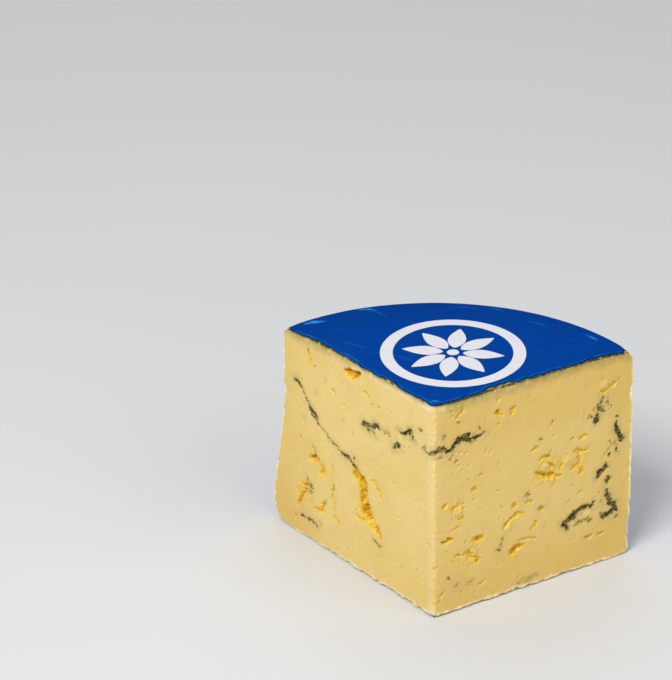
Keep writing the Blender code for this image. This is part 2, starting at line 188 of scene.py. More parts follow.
# Marks on the cut faces: depth, mould and amber, then places (s, z, width) along each one
MARKS = (
    # Left face: slits and the hollow near the top
    (1.6, 0.0, 0.9, ((-83.0, 97.0, 0.9), (-82.6, 94.9, 1.3), (-81.6, 93.2, 0.9), (-82.1, 90.5, 0.4))),
    (1.2, 0.0, 0.7, ((-78.4, 90.4, 1.6),)),
    (3.6, 0.0, 1.0, ((-57.6, 97.2, 2.0), (-54.6, 96.7, 4.6), (-51.0, 97.9, 3.4), (-48.0, 98.9, 2.2))),
    (1.2, 0.0, 0.8, ((-66.7, 84.3, 1.0), (-65.0, 82.8, 1.3))),
    (1.3, 0.0, 0.8, ((-44.2, 92.1, 1.0), (-42.3, 91.1, 1.4))),
    # Left face: the long dark vein
    (0.7, 1.0, 0.0, ((-92.8, 78.9, 0.6), (-91.2, 78.7, 1.3), (-89.7, 78.1, 1.6), (-88.4, 77.2, 0.6))),
    (0.4, 0.8, 0.0, ((-88.4, 77.2, 0.3), (-86.5, 73.9, 0.8), (-84.3, 71.9, 0.7), (-82.4, 69.2, 0.5))),
    (0.9, 1.0, 0.0, ((-82.4, 69.2, 0.9), (-80.9, 68.3, 1.4), (-79.1, 67.2, 1.2), (-77.6, 66.0, 0.8))),
    (0.7, 1.0, 0.0, ((-82.2, 68.0, 0.7), (-81.2, 65.9, 0.8), (-79.2, 65.1, 0.7), (-77.6, 65.7, 0.6))),
    (0.5, 0.8, 0.0, ((-79.2, 64.8, 0.5), (-77.5, 63.4, 0.8), (-73.6, 61.5, 0.5), (-68.8, 58.3, 0.5))),
    (0.6, 0.9, 0.0, ((-68.8, 58.3, 0.5), (-65.6, 57.4, 0.6), (-60.9, 55.2, 0.9), (-58.9, 54.8, 1.2))),
    (0.5, 0.8, 0.0, ((-58.0, 56.3, 0.6), (-57.6, 54.2, 0.8))),
    (1.2, 0.9, 0.3, ((-59.9, 54.9, 1.2), (-56.2, 55.0, 1.8), (-53.2, 52.2, 1.8), (-50.6, 51.0, 1.5))),
    (0.4, 0.8, 0.0, ((-52.1, 55.9, 1.2),)),
    # Left face: the wide crack that the vein runs into
    (3.6, 0.0, 1.0, ((-53.2, 51.6, 2.2), (-51.2, 49.3, 4.8), (-48.4, 48.0, 5.6), (-47.1, 45.3, 6.6),
                     (-46.9, 42.3, 5.2), (-46.4, 39.1, 5.6), (-45.8, 36.1, 7.0), (-44.8, 32.8, 8.0),
                     (-42.8, 29.8, 6.6), (-40.4, 28.1, 5.4), (-38.1, 27.1, 4.0), (-35.4, 24.0, 1.0))),
    (1.0, 0.0, 0.5, ((-52.1, 31.9, 0.6), (-51.6, 27.4, 1.2), (-48.5, 27.3, 1.6), (-44.8, 28.6, 1.8))),
    (1.4, 0.0, 0.9, ((-40.8, 50.4, 0.6), (-38.3, 50.4, 1.2), (-35.3, 45.7, 1.3), (-34.3, 43.8, 0.4))),
    (0.6, 0.9, 0.2, ((-39.3, 20.7, 0.5), (-37.2, 19.7, 1.1), (-35.2, 19.0, 0.6))),
    # Left face: veins near the point
    (0.8, 1.0, 0.0, ((-46.6, 76.1, 0.9), (-45.1, 76.9, 1.8), (-42.5, 77.4, 1.3), (-40.4, 77.1, 1.0),
                     (-38.7, 77.5, 0.9), (-38.1, 79.0, 1.2), (-36.8, 79.1, 2.0), (-35.4, 78.3, 0.9))),
    (0.5, 0.7, 0.0, ((-44.5, 75.6, 0.7), (-42.6, 75.2, 1.8), (-40.9, 74.8, 1.9), (-37.5, 74.3, 0.5))),
    (0.6, 0.6, 0.4, ((-32.9, 77.8, 0.5), (-30.8, 78.4, 0.8), (-29.7, 77.9, 1.8), (-28.3, 77.0, 0.9))),
    (0.5, 1.0, 0.0, ((-25.8, 73.2, 1.0), (-23.8, 75.9, 1.8), (-22.3, 75.1, 1.2))),
    (0.9, 1.0, 0.0, ((-22.0, 82.8, 0.5), (-19.7, 82.8, 0.9), (-15.4, 85.0, 2.0), (-15.0, 86.6, 1.0))),
    (0.7, 0.8, 0.2, ((-15.4, 85.0, 1.8), (-14.2, 84.6, 1.6), (-13.2, 82.5, 1.2))),
    (0.5, 0.7, 0.0, ((-9.3, 88.8, 1.4), (-7.7, 88.9, 0.7))),
    (0.4, 0.5, 0.2, ((-15.4, 81.0, 1.0),)),
    (0.5, 0.6, 0.1, ((-7.1, 81.0, 0.8), (-5.6, 82.4, 0.9))),
    # Left face: holes and hooks low down
    (3.0, 0.0, 1.0, ((-83.2, 43.4, 1.4), (-80.6, 44.4, 4.2), (-78.0, 44.4, 1.6))),
    (1.8, 0.3, 0.6, ((-79.6, 46.2, 1.8), (-79.8, 48.2, 1.3), (-81.9, 50.5, 0.4))),
    (1.8, 0.0, 0.8, ((-75.5, 43.1, 1.0), (-74.2, 41.7, 1.8), (-73.8, 39.3, 2.6), (-76.5, 38.4, 1.0))),
    (1.6, 0.2, 0.8, ((-85.7, 32.0, 0.5), (-86.1, 27.8, 2.2))),
    (1.4, 0.1, 0.7, ((-91.6, 27.8, 0.8), (-88.7, 26.6, 1.8))),
    (1.2, 0.0, 0.7, ((-93.8, 23.8, 0.7), (-92.5, 21.7, 1.2), (-91.2, 19.7, 1.4))),
    (2.6, 0.1, 1.0, ((-86.8, 27.0, 3.4), (-87.0, 24.9, 2.6), (-90.3, 20.1, 1.6), (-92.3, 16.2, 2.2),
                     (-92.8, 14.8, 0.6))),
    (0.7, 0.7, 0.3, ((-83.2, 28.3, 1.8),)),
    (0.7, 0.7, 0.3, ((-83.3, 25.3, 1.6),)),
    (1.6, 0.0, 0.8, ((-80.8, 18.1, 1.0), (-77.6, 19.3, 1.8), (-76.2, 18.9, 2.2), (-74.8, 21.9, 1.3),
                     (-72.9, 25.4, 0.7))),
    (1.0, 0.0, 0.6, ((-67.6, 47.9, 0.5), (-67.4, 44.7, 1.0), (-68.4, 41.1, 0.8), (-67.3, 35.1, 1.1),
                     (-68.5, 29.7, 1.0), (-67.0, 27.7, 1.3), (-67.1, 24.4, 1.4), (-67.8, 22.8, 0.6))),
    (1.5, 0.0, 0.8, ((-67.3, 19.4, 0.6), (-64.6, 18.7, 1.8))),
    (0.9, 0.3, 0.4, ((-96.0, 9.8, 0.6), (-94.9, 8.3, 1.0), (-94.2, 7.3, 0.5))),
    (0.5, 1.0, 0.0, ((-90.7, 10.3, 0.6), (-88.4, 10.3, 1.0))),
    (0.5, 1.0, 0.0, ((-85.6, 10.3, 0.9), (-83.0, 11.8, 0.6), (-82.0, 10.3, 0.9))),
    (0.5, 1.0, 0.0, ((-81.0, 10.4, 0.8), (-79.7, 9.5, 1.2))),
    (0.9, 0.0, 0.4, ((-90.1, 50.8, 1.6), (-89.4, 49.2, 1.2))),
    (0.5, 0.0, 0.3, ((-86.7, 43.7, 1.6),)),
    (0.8, 0.0, 0.4, ((-8.1, 55.4, 0.7), (-6.7, 54.9, 1.1))),
    (0.7, 0.0, 0.4, ((-3.8, 35.6, 1.4),)),
    # Round the point and into the right face: the upper vein
    (0.6, 0.9, 0.0, ((-5.6, 80.8, 0.4), (-3.7, 79.9, 0.8), (-1.7, 80.4, 1.0), (0.4, 81.6, 1.4),
                     (3.0, 82.2, 2.6), (4.8, 82.0, 2.4), (5.6, 81.0, 1.2))),
    (1.1, 1.0, 0.0, ((6.0, 80.9, 0.9), (8.2, 80.6, 0.8), (9.3, 81.8, 1.3), (10.8, 83.5, 1.7),
                     (12.3, 84.5, 2.2), (13.8, 84.8, 2.2), (15.7, 85.4, 1.4), (17.6, 86.2, 0.6))),
    (0.9, 1.0, 0.0, ((14.6, 84.2, 1.2), (17.6, 82.9, 1.3), (19.8, 83.4, 1.4), (22.1, 83.2, 1.0),
                     (24.4, 84.0, 0.5))),
    (0.5, 0.7, 0.0, ((17.4, 81.6, 0.6), (18.3, 81.2, 1.0), (20.6, 81.8, 0.7))),
    (0.4, 0.7, 0.0, ((2.6, 77.8, 0.7), (3.7, 78.6, 0.7))),
    (0.4, 0.7, 0.0, ((8.0, 76.4, 0.8), (9.3, 77.6, 0.7))),
    (0.4, 0.7, 0.0, ((10.9, 74.2, 1.2),)),
    (0.4, 0.8, 0.0, ((22.5, 86.9, 1.1),)),
    (0.4, 0.2, 0.3, ((12.9, 77.9, 1.4),)),
    # Right face: slits and pits of the upper half
    (1.2, 0.1, 0.7, ((14.8, 99.2, 0.9), (13.7, 97.9, 1.4), (12.3, 96.1, 0.7), (11.0, 94.6, 0.3))),
    (1.9, 0.0, 1.0, ((31.5, 91.6, 2.6), (32.2, 90.8, 2.2))),
    (1.7, 0.0, 0.9, ((39.4, 92.4, 0.9), (38.6, 90.8, 1.9), (38.0, 89.3, 1.0))),
    (0.7, 0.0, 0.4, ((32.1, 85.9, 1.4),)),
    (0.7, 0.0, 0.4, ((29.0, 74.3, 0.8), (27.2, 72.7, 0.6))),
    (0.7, 0.0, 0.4, ((30.8, 66.6, 0.5), (32.8, 66.6, 0.8))),
    (0.8, 0.0, 0.5, ((22.6, 64.5, 0.9), (23.4, 64.4, 1.2))),
    (0.7, 0.0, 0.4, ((17.0, 63.8, 1.2),)),
    (1.2, 0.0, 0.8, ((48.9, 68.3, 0.8), (51.5, 68.8, 1.3))),
    (1.5, 0.0, 0.9, ((20.2, 57.9, 2.0), (21.6, 57.2, 1.0))),
    (2.0, 0.0, 0.9, ((88.3, 87.8, 1.8), (89.8, 88.2, 2.4), (91.3, 88.8, 1.2))),
    (0.8, 0.0, 0.4, ((84.9, 92.2, 1.2),)),
    (1.2, 0.0, 0.7, ((84.0, 86.0, 1.0), (85.6, 85.8, 1.4), (86.6, 87.0, 0.8))),
    # Right face: the veins near the rim
    (0.5, 0.8, 0.0, ((85.1, 83.7, 0.6), (84.4, 81.6, 0.7), (83.2, 79.9, 1.6), (83.9, 78.0, 1.9),
                     (85.3, 76.5, 1.0))),
    (0.8, 1.0, 0.1, ((82.6, 75.6, 1.0), (82.3, 73.7, 2.0), (81.3, 71.8, 1.0))),
    (0.9, 1.0, 0.0, ((92.7, 69.4, 0.5), (92.1, 67.0, 1.8), (93.4, 64.3, 1.9), (94.7, 62.0, 1.5),
                     (95.4, 59.9, 1.9))),
    (0.5, 0.8, 0.0, ((92.9, 71.8, 1.3),)),
    (0.3, 0.45, 0.0, ((90.8, 58.7, 0.7), (87.7, 55.8, 1.0), (86.2, 53.2, 1.0))),
    (0.7, 1.0, 0.0, ((87.1, 49.3, 1.7), (88.0, 48.1, 1.4), (86.4, 47.0, 1.8), (84.4, 47.3, 1.2),
                     (84.0, 45.5, 1.7), (82.8, 44.9, 1.0))),
    (0.5, 0.9, 0.0, ((88.9, 43.5, 0.7), (87.8, 41.7, 1.2), (88.6, 40.5, 1.0), (90.0, 42.2, 0.9),
                     (89.4, 43.4, 0.6))),
    (0.9, 1.0, 0.0, ((88.8, 36.6, 0.9), (88.5, 34.5, 1.6), (89.4, 31.5, 1.6), (90.3, 29.3, 1.8),
                     (91.9, 28.2, 2.2), (92.8, 28.9, 1.2))),
    (0.4, 0.8, 0.0, ((89.9, 33.6, 1.0), (91.4, 30.5, 1.2))),
    (0.9, 1.0, 0.0, ((92.8, 27.4, 1.0), (93.3, 25.0, 2.2), (91.3, 24.7, 1.8), (88.8, 23.7, 2.0),
                     (86.2, 23.3, 0.7))),
    (1.5, 1.0, 0.0, ((81.7, 32.2, 1.1), (80.5, 30.9, 1.2), (78.0, 31.6, 1.5), (76.0, 31.1, 1.6),
                     (74.0, 31.0, 2.0), (72.5, 29.9, 2.4), (69.3, 27.8, 2.6), (67.7, 26.8, 1.8),
                     (66.2, 26.0, 2.0), (67.4, 24.6, 1.0), (68.4, 23.2, 0.6))),
    (0.8, 0.4, 0.0, ((77.5, 29.6, 2.4), (74.6, 28.8, 3.4), (71.6, 27.2, 2.6))),
    (0.9, 0.7, 0.2, ((71.6, 23.8, 0.6), (73.4, 24.4, 0.8), (75.8, 24.9, 1.2), (78.3, 25.0, 1.3),
                     (80.9, 23.2, 1.0))),
    # Right face: the crumbly patch
    (1.4, 0.0, 0.8, ((69.2, 67.3, 0.7), (70.2, 67.6, 1.3))),
    (1.4, 0.0, 0.8, ((73.4, 66.8, 1.0), (75.3, 67.0, 1.8), (77.1, 66.8, 0.7))),
    (2.0, 0.0, 0.9, ((53.8, 62.2, 1.3), (55.0, 62.9, 2.0), (57.7, 62.3, 1.6), (58.6, 65.0, 0.7))),
    (2.2, 0.0, 1.0, ((57.6, 59.2, 1.2), (59.8, 57.3, 2.4), (61.2, 55.9, 1.0))),
    (1.5, 0.0, 0.8, ((63.8, 55.3, 1.3), (64.4, 56.8, 1.0))),
    (2.6, 0.0, 1.0, ((51.4, 57.0, 1.0), (54.0, 55.2, 1.7), (57.9, 52.8, 3.2), (60.1, 53.4, 2.0))),
    (1.8, 0.0, 0.9, ((62.0, 52.2, 1.8), (64.0, 51.7, 1.6))),
    (1.8, 0.1, 0.8, ((70.2, 61.0, 0.8), (72.3, 61.2, 1.4), (73.6, 59.2, 2.2), (78.3, 60.2, 0.6))),
    (2.0, 0.1, 0.9, ((73.6, 57.8, 0.9), (73.7, 55.4, 1.8), (72.6, 53.8, 2.2), (70.4, 53.0, 1.4))),
    (2.2, 0.0, 1.0, ((74.8, 52.4, 1.3), (75.1, 49.9, 2.4))),
    (0.7, 0.0, 0.3, ((64.6, 61.0, 0.5), (67.0, 60.8, 0.9))),
    # Right face: pits and grooves of the lower half
    (1.8, 0.4, 0.8, ((54.0, 38.4, 1.4), (54.9, 37.6, 1.8))),
    (1.0, 0.1, 0.5, ((74.2, 39.5, 1.2), (75.4, 40.0, 0.8))),
    (1.0, 0.1, 0.5, ((67.1, 36.6, 0.8), (68.3, 36.8, 1.0))),
    (1.5, 0.0, 0.9, ((51.5, 32.1, 0.9), (51.0, 30.3, 1.5), (49.2, 28.9, 0.9))),
    (1.5, 0.2, 0.8, ((78.0, 15.4, 0.7), (79.6, 14.8, 1.8), (81.0, 15.6, 0.6))),
    (1.5, 0.2, 0.8, ((84.5, 14.8, 0.5), (85.8, 15.2, 1.3), (87.2, 15.6, 0.8))),
    (1.8, 0.0, 1.0, ((4.3, 53.6, 1.2), (5.6, 54.4, 2.2), (6.9, 54.0, 1.0))),
    (1.4, 0.0, 0.8, ((9.4, 50.4, 1.0), (9.8, 51.8, 1.5), (11.8, 52.5, 1.5), (14.3, 52.8, 0.9))),
    (0.8, 0.0, 0.5, ((15.0, 50.3, 1.2),)),
    (1.5, 0.0, 0.9, ((12.8, 45.9, 1.2), (14.1, 45.9, 2.0))),
    (0.9, 0.0, 0.4, ((12.0, 42.2, 1.2), (10.4, 41.4, 0.9), (8.6, 41.2, 0.7))),
    (2.2, 0.1, 1.0, ((3.9, 37.5, 0.7), (5.4, 36.3, 1.6), (7.2, 37.4, 2.4), (9.1, 36.5, 0.9))),
    (2.2, 0.0, 1.0, ((19.8, 32.9, 1.3), (21.6, 33.0, 2.8), (23.6, 33.2, 1.8), (24.8, 34.4, 0.6))),
    (2.0, 0.0, 0.9, ((11.2, 28.0, 1.5), (13.4, 27.4, 1.0), (17.0, 28.9, 1.6), (17.7, 27.0, 2.2),
                     (18.9, 24.8, 2.2), (21.2, 24.0, 1.8), (21.7, 21.3, 1.4))),
    (1.4, 0.0, 0.8, ((21.4, 23.8, 1.2), (23.3, 22.9, 1.0))),
    (1.0, 0.0, 0.5, ((8.8, 26.0, 0.7), (9.9, 25.6, 1.5))),
    (0.8, 0.0, 0.4, ((11.5, 22.6, 1.0),)),
    (1.9, 0.0, 1.0, ((39.6, 43.4, 1.0), (40.4, 43.9, 2.2), (41.2, 43.0, 1.0))),
    (0.8, 0.7, 0.2, ((46.6, 46.6, 1.4), (47.4, 47.0, 1.0))),
    (1.2, 0.3, 0.7, ((46.4, 43.2, 1.0), (47.8, 43.3, 2.0), (49.2, 42.8, 1.2))),
    (1.7, 0.0, 0.9, ((45.2, 38.6, 0.5), (41.9, 39.3, 1.5), (38.0, 37.1, 1.4), (36.1, 35.8, 1.8),
                     (35.7, 34.0, 0.6))),
    (3.0, 0.1, 1.0, ((45.4, 22.8, 1.2), (43.6, 22.4, 2.8), (41.6, 21.8, 3.6), (39.8, 20.9, 2.6),
                     (38.4, 19.7, 1.0))),
    (1.0, 0.1, 0.6, ((43.8, 25.0, 0.6), (47.6, 25.3, 1.1), (51.7, 23.9, 0.5))),
    (0.2, 0.5, 0.0, ((10.9, 12.8, 1.6), (12.3, 13.8, 1.4))),
    (0.2, 0.5, 0.0, ((17.2, 12.2, 1.4), (19.2, 12.6, 1.0))),
    (0.8, 0.0, 0.5, ((22.8, 10.2, 0.7), (25.4, 10.9, 0.9))),
    (0.8, 0.2, 0.6, ((4.8, 12.2, 0.7), (3.4, 10.4, 1.3))),
    (0.7, 0.2, 0.5, ((2.6, 8.4, 0.9), (2.4, 7.0, 0.5))),
    (0.8, 0.0, 0.6, ((0.2, 24.6, 1.2), (1.0, 25.6, 0.8))),
    (0.3, 0.5, 0.0, ((43.5, 3.4, 1.8), (47.2, 3.4, 3.0), (52.0, 4.4, 2.0))),
    (0.8, 0.3, 0.2, ((44.6, 5.0, 0.5), (46.2, 5.7, 0.9))),
)

# Specks of mould: (s, z, width)
SPECKS = (
    (87.2, 80.1, 1.2), (88.9, 77.9, 1.2), (80.9, 78.6, 1.0), (78.2, 75.8, 1.0), (79.8, 74.9, 0.9),
    (89.3, 60.6, 1.0), (92.2, 59.2, 1.4), (93.3, 55.2, 1.4), (89.3, 54.3, 1.2), (85.9, 25.2, 1.2),
    (87.3, 22.5, 1.4), (94.3, 21.0, 1.2), (34.8, 28.8, 1.1), (33.9, 26.4, 1.0), (33.0, 24.3, 1.3),
    (58.9, 78.9, 0.9), (4.6, 87.9, 1.5), (85.7, 31.5, 1.0), (7.8, 18.3, 1.1), (11.9, 92.3, 1.0),
    (53.0, 72.5, 0.9),
)

# Faint grey stains: (s, z, width)
STAINS = ((-71.0, 86.9, 2.6), (-78.3, 77.7, 2.2), (-59.7, 71.6, 2.2), (-86.5, 61.8, 4.0), (-77.0, 12.0, 4.0),
          (47.0, 4.0, 8.0), (52.0, 5.0, 5.0), (11.5, 13.2, 4.0), (18.4, 12.4, 4.5), (34.0, 26.0, 4.0),
          (87.0, 30.0, 6.0), (76.0, 29.0, 7.0))

# Pale swellings that stand a little proud: (s, z, width, rise)
SWELLINGS = (
    (85.3, 89.2, 5.4, 0.7), (58.6, 50.6, 7.0, 0.5), (67.0, 57.0, 7.0, 0.5), (-53.4, 92.6, 7.0, 0.35),
    (38.0, 33.6, 4.6, 0.5), (78.0, 26.6, 4.0, 0.4), (-48.6, 30.6, 4.6, 0.5), (41.0, 17.8, 6.0, 0.4),
    (12.6, 49.4, 4.0, 0.4), (20.4, 26.8, 3.6, 0.4), (56.4, 58.6, 4.0, 0.5), (-84.6, 40.0, 5.0, 0.35),
)

# Crumbly patches, where the cut tore: (s, z, reach)
CRUMBLY = ((58.0, 56.0, 12.0), (73.0, 56.0, 8.0), (17.0, 26.0, 9.0), (-45.0, 34.0, 9.0), (11.0, 51.0, 7.0),
           (42.0, 21.0, 7.0), (-86.0, 24.0, 8.0), (-76.0, 42.0, 7.0))

# Seed of the noise that warps the crumbs, so that each run gives the same ones
CRUMB_SEED = 1

# Pinholes: how many, and where between and how wide they are
PINHOLES = 300
PINHOLE_SEED = 11
PINHOLE_S = (-98.0, 96.0)
PINHOLE_Z = (4.0, 100.0)
PINHOLE_WIDTH = (0.5, 1.2)

# Depth and mould of a speck, strength of a stain, and how much of their depth the marks keep
SPECK_DEPTH = 0.2
SPECK_MOULD = 0.8
STAIN_STRENGTH = 0.75
HOLLOW_DEPTH_LEFT = 0.75
HOLLOW_DEPTH_RIGHT = 0.53

# Unevenness of the cut faces: rise, size and seed of each of its noises, on a mean depth
UNEVEN = ((0.22, 19.0, 7), (0.10, 6.0, 8), (0.05, 1.7, 9))
UNEVEN_MEAN = 0.12

# How deep in tone, how much painted shade and how dry the cheese is where it lies under the foil
UNDER_FOIL = (0.2, 0.55, 0.5)

# Rise of the mould's strokes for each millimetre along the left and right face
STROKE_SLOPE_LEFT = -0.15
STROKE_SLOPE_RIGHT = 0.40


# Geometry of the wheel

def smooth_step(low, high, value):
    """0 at low and 1 at high, or the other way round where low is the larger."""
    part = np.clip((value - low) / (high - low), 0.0, 1.0)
    return part * part * (3 - 2 * part)


def half_section(top_inset, side_inset):
    """The wheel's outline as three runs of (reach, height): the top, the rim and the base.

    It is moved inwards by one inset along the top and by another round the rim and base. The
    runs meet half-way round the shoulder and the foot.
    """
    dip = math.atan2(2 * TOP_DROP, RADIUS - SHOULDER - TOP_FLAT)
    edge = RADIUS - SHOULDER + SHOULDER * math.sin(dip)
    shoulder_z = HEIGHT - TOP_DROP - SHOULDER * math.cos(dip)
    fall = np.linspace(0, 1, FALL_STEPS)
    top = np.column_stack((TOP_FLAT + (edge - TOP_FLAT) * fall, HEIGHT - TOP_DROP * fall ** 2))
    bend = np.linspace(math.pi / 2 - dip, 0, BEND_STEPS)
    shoulder = np.column_stack((RADIUS - SHOULDER + SHOULDER * np.cos(bend),
                                shoulder_z + SHOULDER * np.sin(bend)))
    under = np.linspace(0, math.pi / 2, BEND_STEPS)
    foot = np.column_stack((RADIUS - FOOT_WIDTH + FOOT_WIDTH * np.cos(under),
                            FOOT_HEIGHT * (1 - np.sin(under))))
    path = np.vstack(((0.0, HEIGHT), top, shoulder[1:], foot, (0.0, 0.0)))
    along = np.gradient(path, axis=0)
    along /= np.linalg.norm(along, axis=1)[:, None]
    sideways = smooth_step(HEIGHT - TOP_DROP, shoulder_z, path[:, 1])
    inset = top_inset + (side_inset - top_inset) * sideways
    path = path + inset[:, None] * np.column_stack((along[:, 1], -along[:, 0]))
    path[0, 0] = 0.0
    path[-1, 0] = 0.0
    first = 1 + len(top) + BEND_STEPS // 2
    second = len(path) - 2 - BEND_STEPS // 2
    return path[:first + 1], path[first:second + 1], path[second:]


def spaced(run, count):
    """The run of points, taken again at even steps along it."""
    steps = np.linalg.norm(np.diff(run, axis=0), axis=1)
    length = np.concatenate(((0.0,), np.cumsum(steps)))
    wanted = np.linspace(0.0, length[-1], count + 1)
    return np.column_stack([np.interp(wanted, length, run[:, axis]) for axis in (0, 1)])


def slump(turn, height):
    """How far the side has spread at a turn from the bisector."""
    leftward = np.clip(0.5 - turn / (2 * HALF_OPENING), 0.0, 1.0)
    most = SLUMP_RIGHT + (SLUMP_LEFT - SLUMP_RIGHT) * leftward ** SLUMP_EASE
    swell = SWELL * smooth_step(0.0, SWELL_FADE, HEIGHT - TOP_DROP - height)
    tucked = 1 - TUCK * smooth_step(TUCK_HEIGHT, 0.0, height)
    return (swell + most * smooth_step(0.0, SLUMP_TOP, SLUMP_TOP - height)) * tucked


def wheel_point(reach, height, turn):
    """Points of the slumped wheel; turn runs from +Y towards +X."""
    spread = reach + slump(turn, height) * (reach / RADIUS) ** 2
    return np.stack(np.broadcast_arrays(spread * np.sin(turn), spread * np.cos(turn), height), axis=-1)


def rim_stray(side, reach, height):
    """How far the rim strays outwards at the left (-1) or right (1) cut."""
    places = LEFT_RIM if side < 0 else RIGHT_RIM
    stray = np.interp(height, [place[0] for place in places], [place[1] for place in places])
    return stray * smooth_step(RADIUS - RIM_REACH, RADIUS, reach)


def cut_normal(side):
    """Outwards from the left (-1) or right (1) cut."""
    return np.array((side * math.cos(HALF_OPENING), -math.sin(HALF_OPENING), 0.0))


def wobble(points, size, seed):
    """Smooth noise of one feature size at each point, about -1 to 1."""
    shift = Vector((seed * 17.3, seed * 5.9, seed * 11.1))
    flat = points.reshape(-1, 3) / size
    values = [noise.noise(Vector(spot) + shift) for spot in flat]
    return np.array(values).reshape(points.shape[:-1])


def crevices(points, size):
    """1 between uneven crumbs of one size and 0 in the middle of each."""
    gaps = []
    for spot in points / size:
        place = Vector(spot)
        gaps.append(noise.voronoi(place + 0.8 * noise.noise_vector(place * 0.9))[0][0])
    return smooth_step(0.12, 0.62, np.array(gaps))


def inside_track(s, z, places):
    """How far inside a mark each place lies, in millimetres; negative outside it."""
    if len(places) == 1:
        places = places * 2
    inside = np.full(s.shape, -1e3)
    for (s0, z0, wide0), (s1, z1, wide1) in zip(places, places[1:]):
        run_s = s1 - s0
        run_z = z1 - z0
        length = max(run_s ** 2 + run_z ** 2, 1e-6)
        part = np.clip(((s - s0) * run_s + (z - z0) * run_z) / length, 0.0, 1.0)
        away = np.hypot(s - s0 - part * run_s, z - z0 - part * run_z)
        inside = np.maximum(inside, (wide0 + (wide1 - wide0) * part) / 2 - away)
    return inside


def wheel_axis():
    """Where the wheel's axis meets the floor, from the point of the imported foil."""
    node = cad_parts["foil_wrap"]
    corners = [node.matrix_world @ vertex.co for vertex in node.data.vertices]
    point = min(corners, key=lambda corner: corner.y)
    return np.array((point.x, point.y, 0.0))


AXIS = wheel_axis()


def put_down(name, points, faces, material):
    """A mesh object in metres on the part, from points in millimetres round the wheel's axis."""
    data = bpy.data.meshes.new(name)
    data.from_pydata((points * MM + AXIS).tolist(), [], faces)
    data.update()
    data.materials.append(material)
    piece = bpy.data.objects.new(name, data)
    bpy.context.scene.collection.objects.link(piece)
    return piece


def smooth(piece, sharp):
    """Smooth shading, but for edges sharper than an angle in degrees."""
    piece.data.shade_smooth()
    piece.data.set_sharp_from_angle(angle=math.radians(sharp))


# Shader nodes

def add_node(tree, kind, inputs=None, **settings):
    """A node with its settings, and each input either linked or given a value."""
    made = tree.nodes.new(kind)
    for name, value in settings.items():
        setattr(made, name, value)
    for name, value in (inputs or {}).items():
        if isinstance(value, bpy.types.NodeSocket):
            tree.links.new(value, made.inputs[name])
        else:
            made.inputs[name].default_value = value
    return made


def mixed(tree, factor, first, second):
    """The colour between two colours."""
    return add_node(tree, 'ShaderNodeMix', {0: factor, 6: first, 7: second}, data_type='RGBA').outputs[2]


def maths(tree, operation, first, second):
    return add_node(tree, 'ShaderNodeMath', {0: first, 1: second}, operation=operation).outputs[0]


def spread_out(tree, value, low, high, start=0.0, end=1.0):
    """The value taken smoothly from start at low to end at high."""
    inputs = {'Value': value, 'From Min': low, 'From Max': high, 'To Min': start, 'To Max': end}
    return add_node(tree, 'ShaderNodeMapRange', inputs, interpolation_type='SMOOTHSTEP').outputs['Result']


def grain(tree, coords, size, detail=3.0, roughness=0.5):
    """Noise whose features are about size millimetres."""
    inputs = {'Vector': coords, 'Scale': 1000.0 / size, 'Detail': detail, 'Roughness': roughness}
    return add_node(tree, 'ShaderNodeTexNoise', inputs).outputs['Fac']


def new_material(name):
    """An empty node material: its tree, its shader and its object coordinates."""
    material = bpy.data.materials.new(name)
    material.use_nodes = True
    tree = material.node_tree
    shader = tree.nodes['Principled BSDF']
    coords = add_node(tree, 'ShaderNodeTexCoord').outputs['Object']
    return material, tree, shader, coords


def bump(tree, height, strength, distance, under=None):
    """A normal that is roughened by height, on top of another one."""
    inputs = {'Height': height, 'Strength': strength, 'Distance': distance * MM}
    if under is not None:
        inputs['Normal'] = under
    return add_node(tree, 'ShaderNodeBump', inputs).outputs['Normal']


# Materials

CREAM = (0.84, 0.64, 0.25, 1.0)
CREAM_DEEP = (0.81, 0.60, 0.215, 1.0)
CREAM_WARM = (0.82, 0.56, 0.20, 1.0)
# A deeper tone of the paste, partly painted shade on the right face
PASTE_DEEPER_TONE = (0.75, 0.51, 0.145, 1.0)
# Painted shade of the paste under the foil and along the base, and its darkest
PASTE_IN_SHADE = (0.47, 0.34, 0.095, 1.0)
PASTE_IN_DEEP_SHADE = (0.10, 0.075, 0.03, 1.0)
DRY = (0.85, 0.70, 0.36, 1.0)
DRIEST = (0.82, 0.75, 0.54, 1.0)
AMBER = (0.80, 0.51, 0.04, 1.0)
AMBER_DEEP = (0.56, 0.26, 0.0, 1.0)
AMBER_CRUMB = (0.86, 0.66, 0.20, 1.0)
MOULD = (0.018, 0.014, 0.002, 1.0)
MOULD_OLIVE = (0.15, 0.115, 0.018, 1.0)
MOULD_HALO = (0.54, 0.44, 0.18, 1.0)
CHEESE_SHINE = (1.0, 0.82, 0.5, 1.0)


def strokes(tree):
    """Noise drawn out into short strokes along the cut faces."""
    place = add_node(tree, 'ShaderNodeAttribute', attribute_name="stroke_place").outputs['Vector']
    drawn = add_node(tree, 'ShaderNodeMapping', {'Vector': place, 'Scale': (0.5, 2.1, 0.0)})
    inputs = {'Vector': drawn.outputs[0], 'Scale': 1.0, 'Detail': 5.0, 'Roughness': 0.7}
    return add_node(tree, 'ShaderNodeTexNoise', inputs).outputs['Fac']


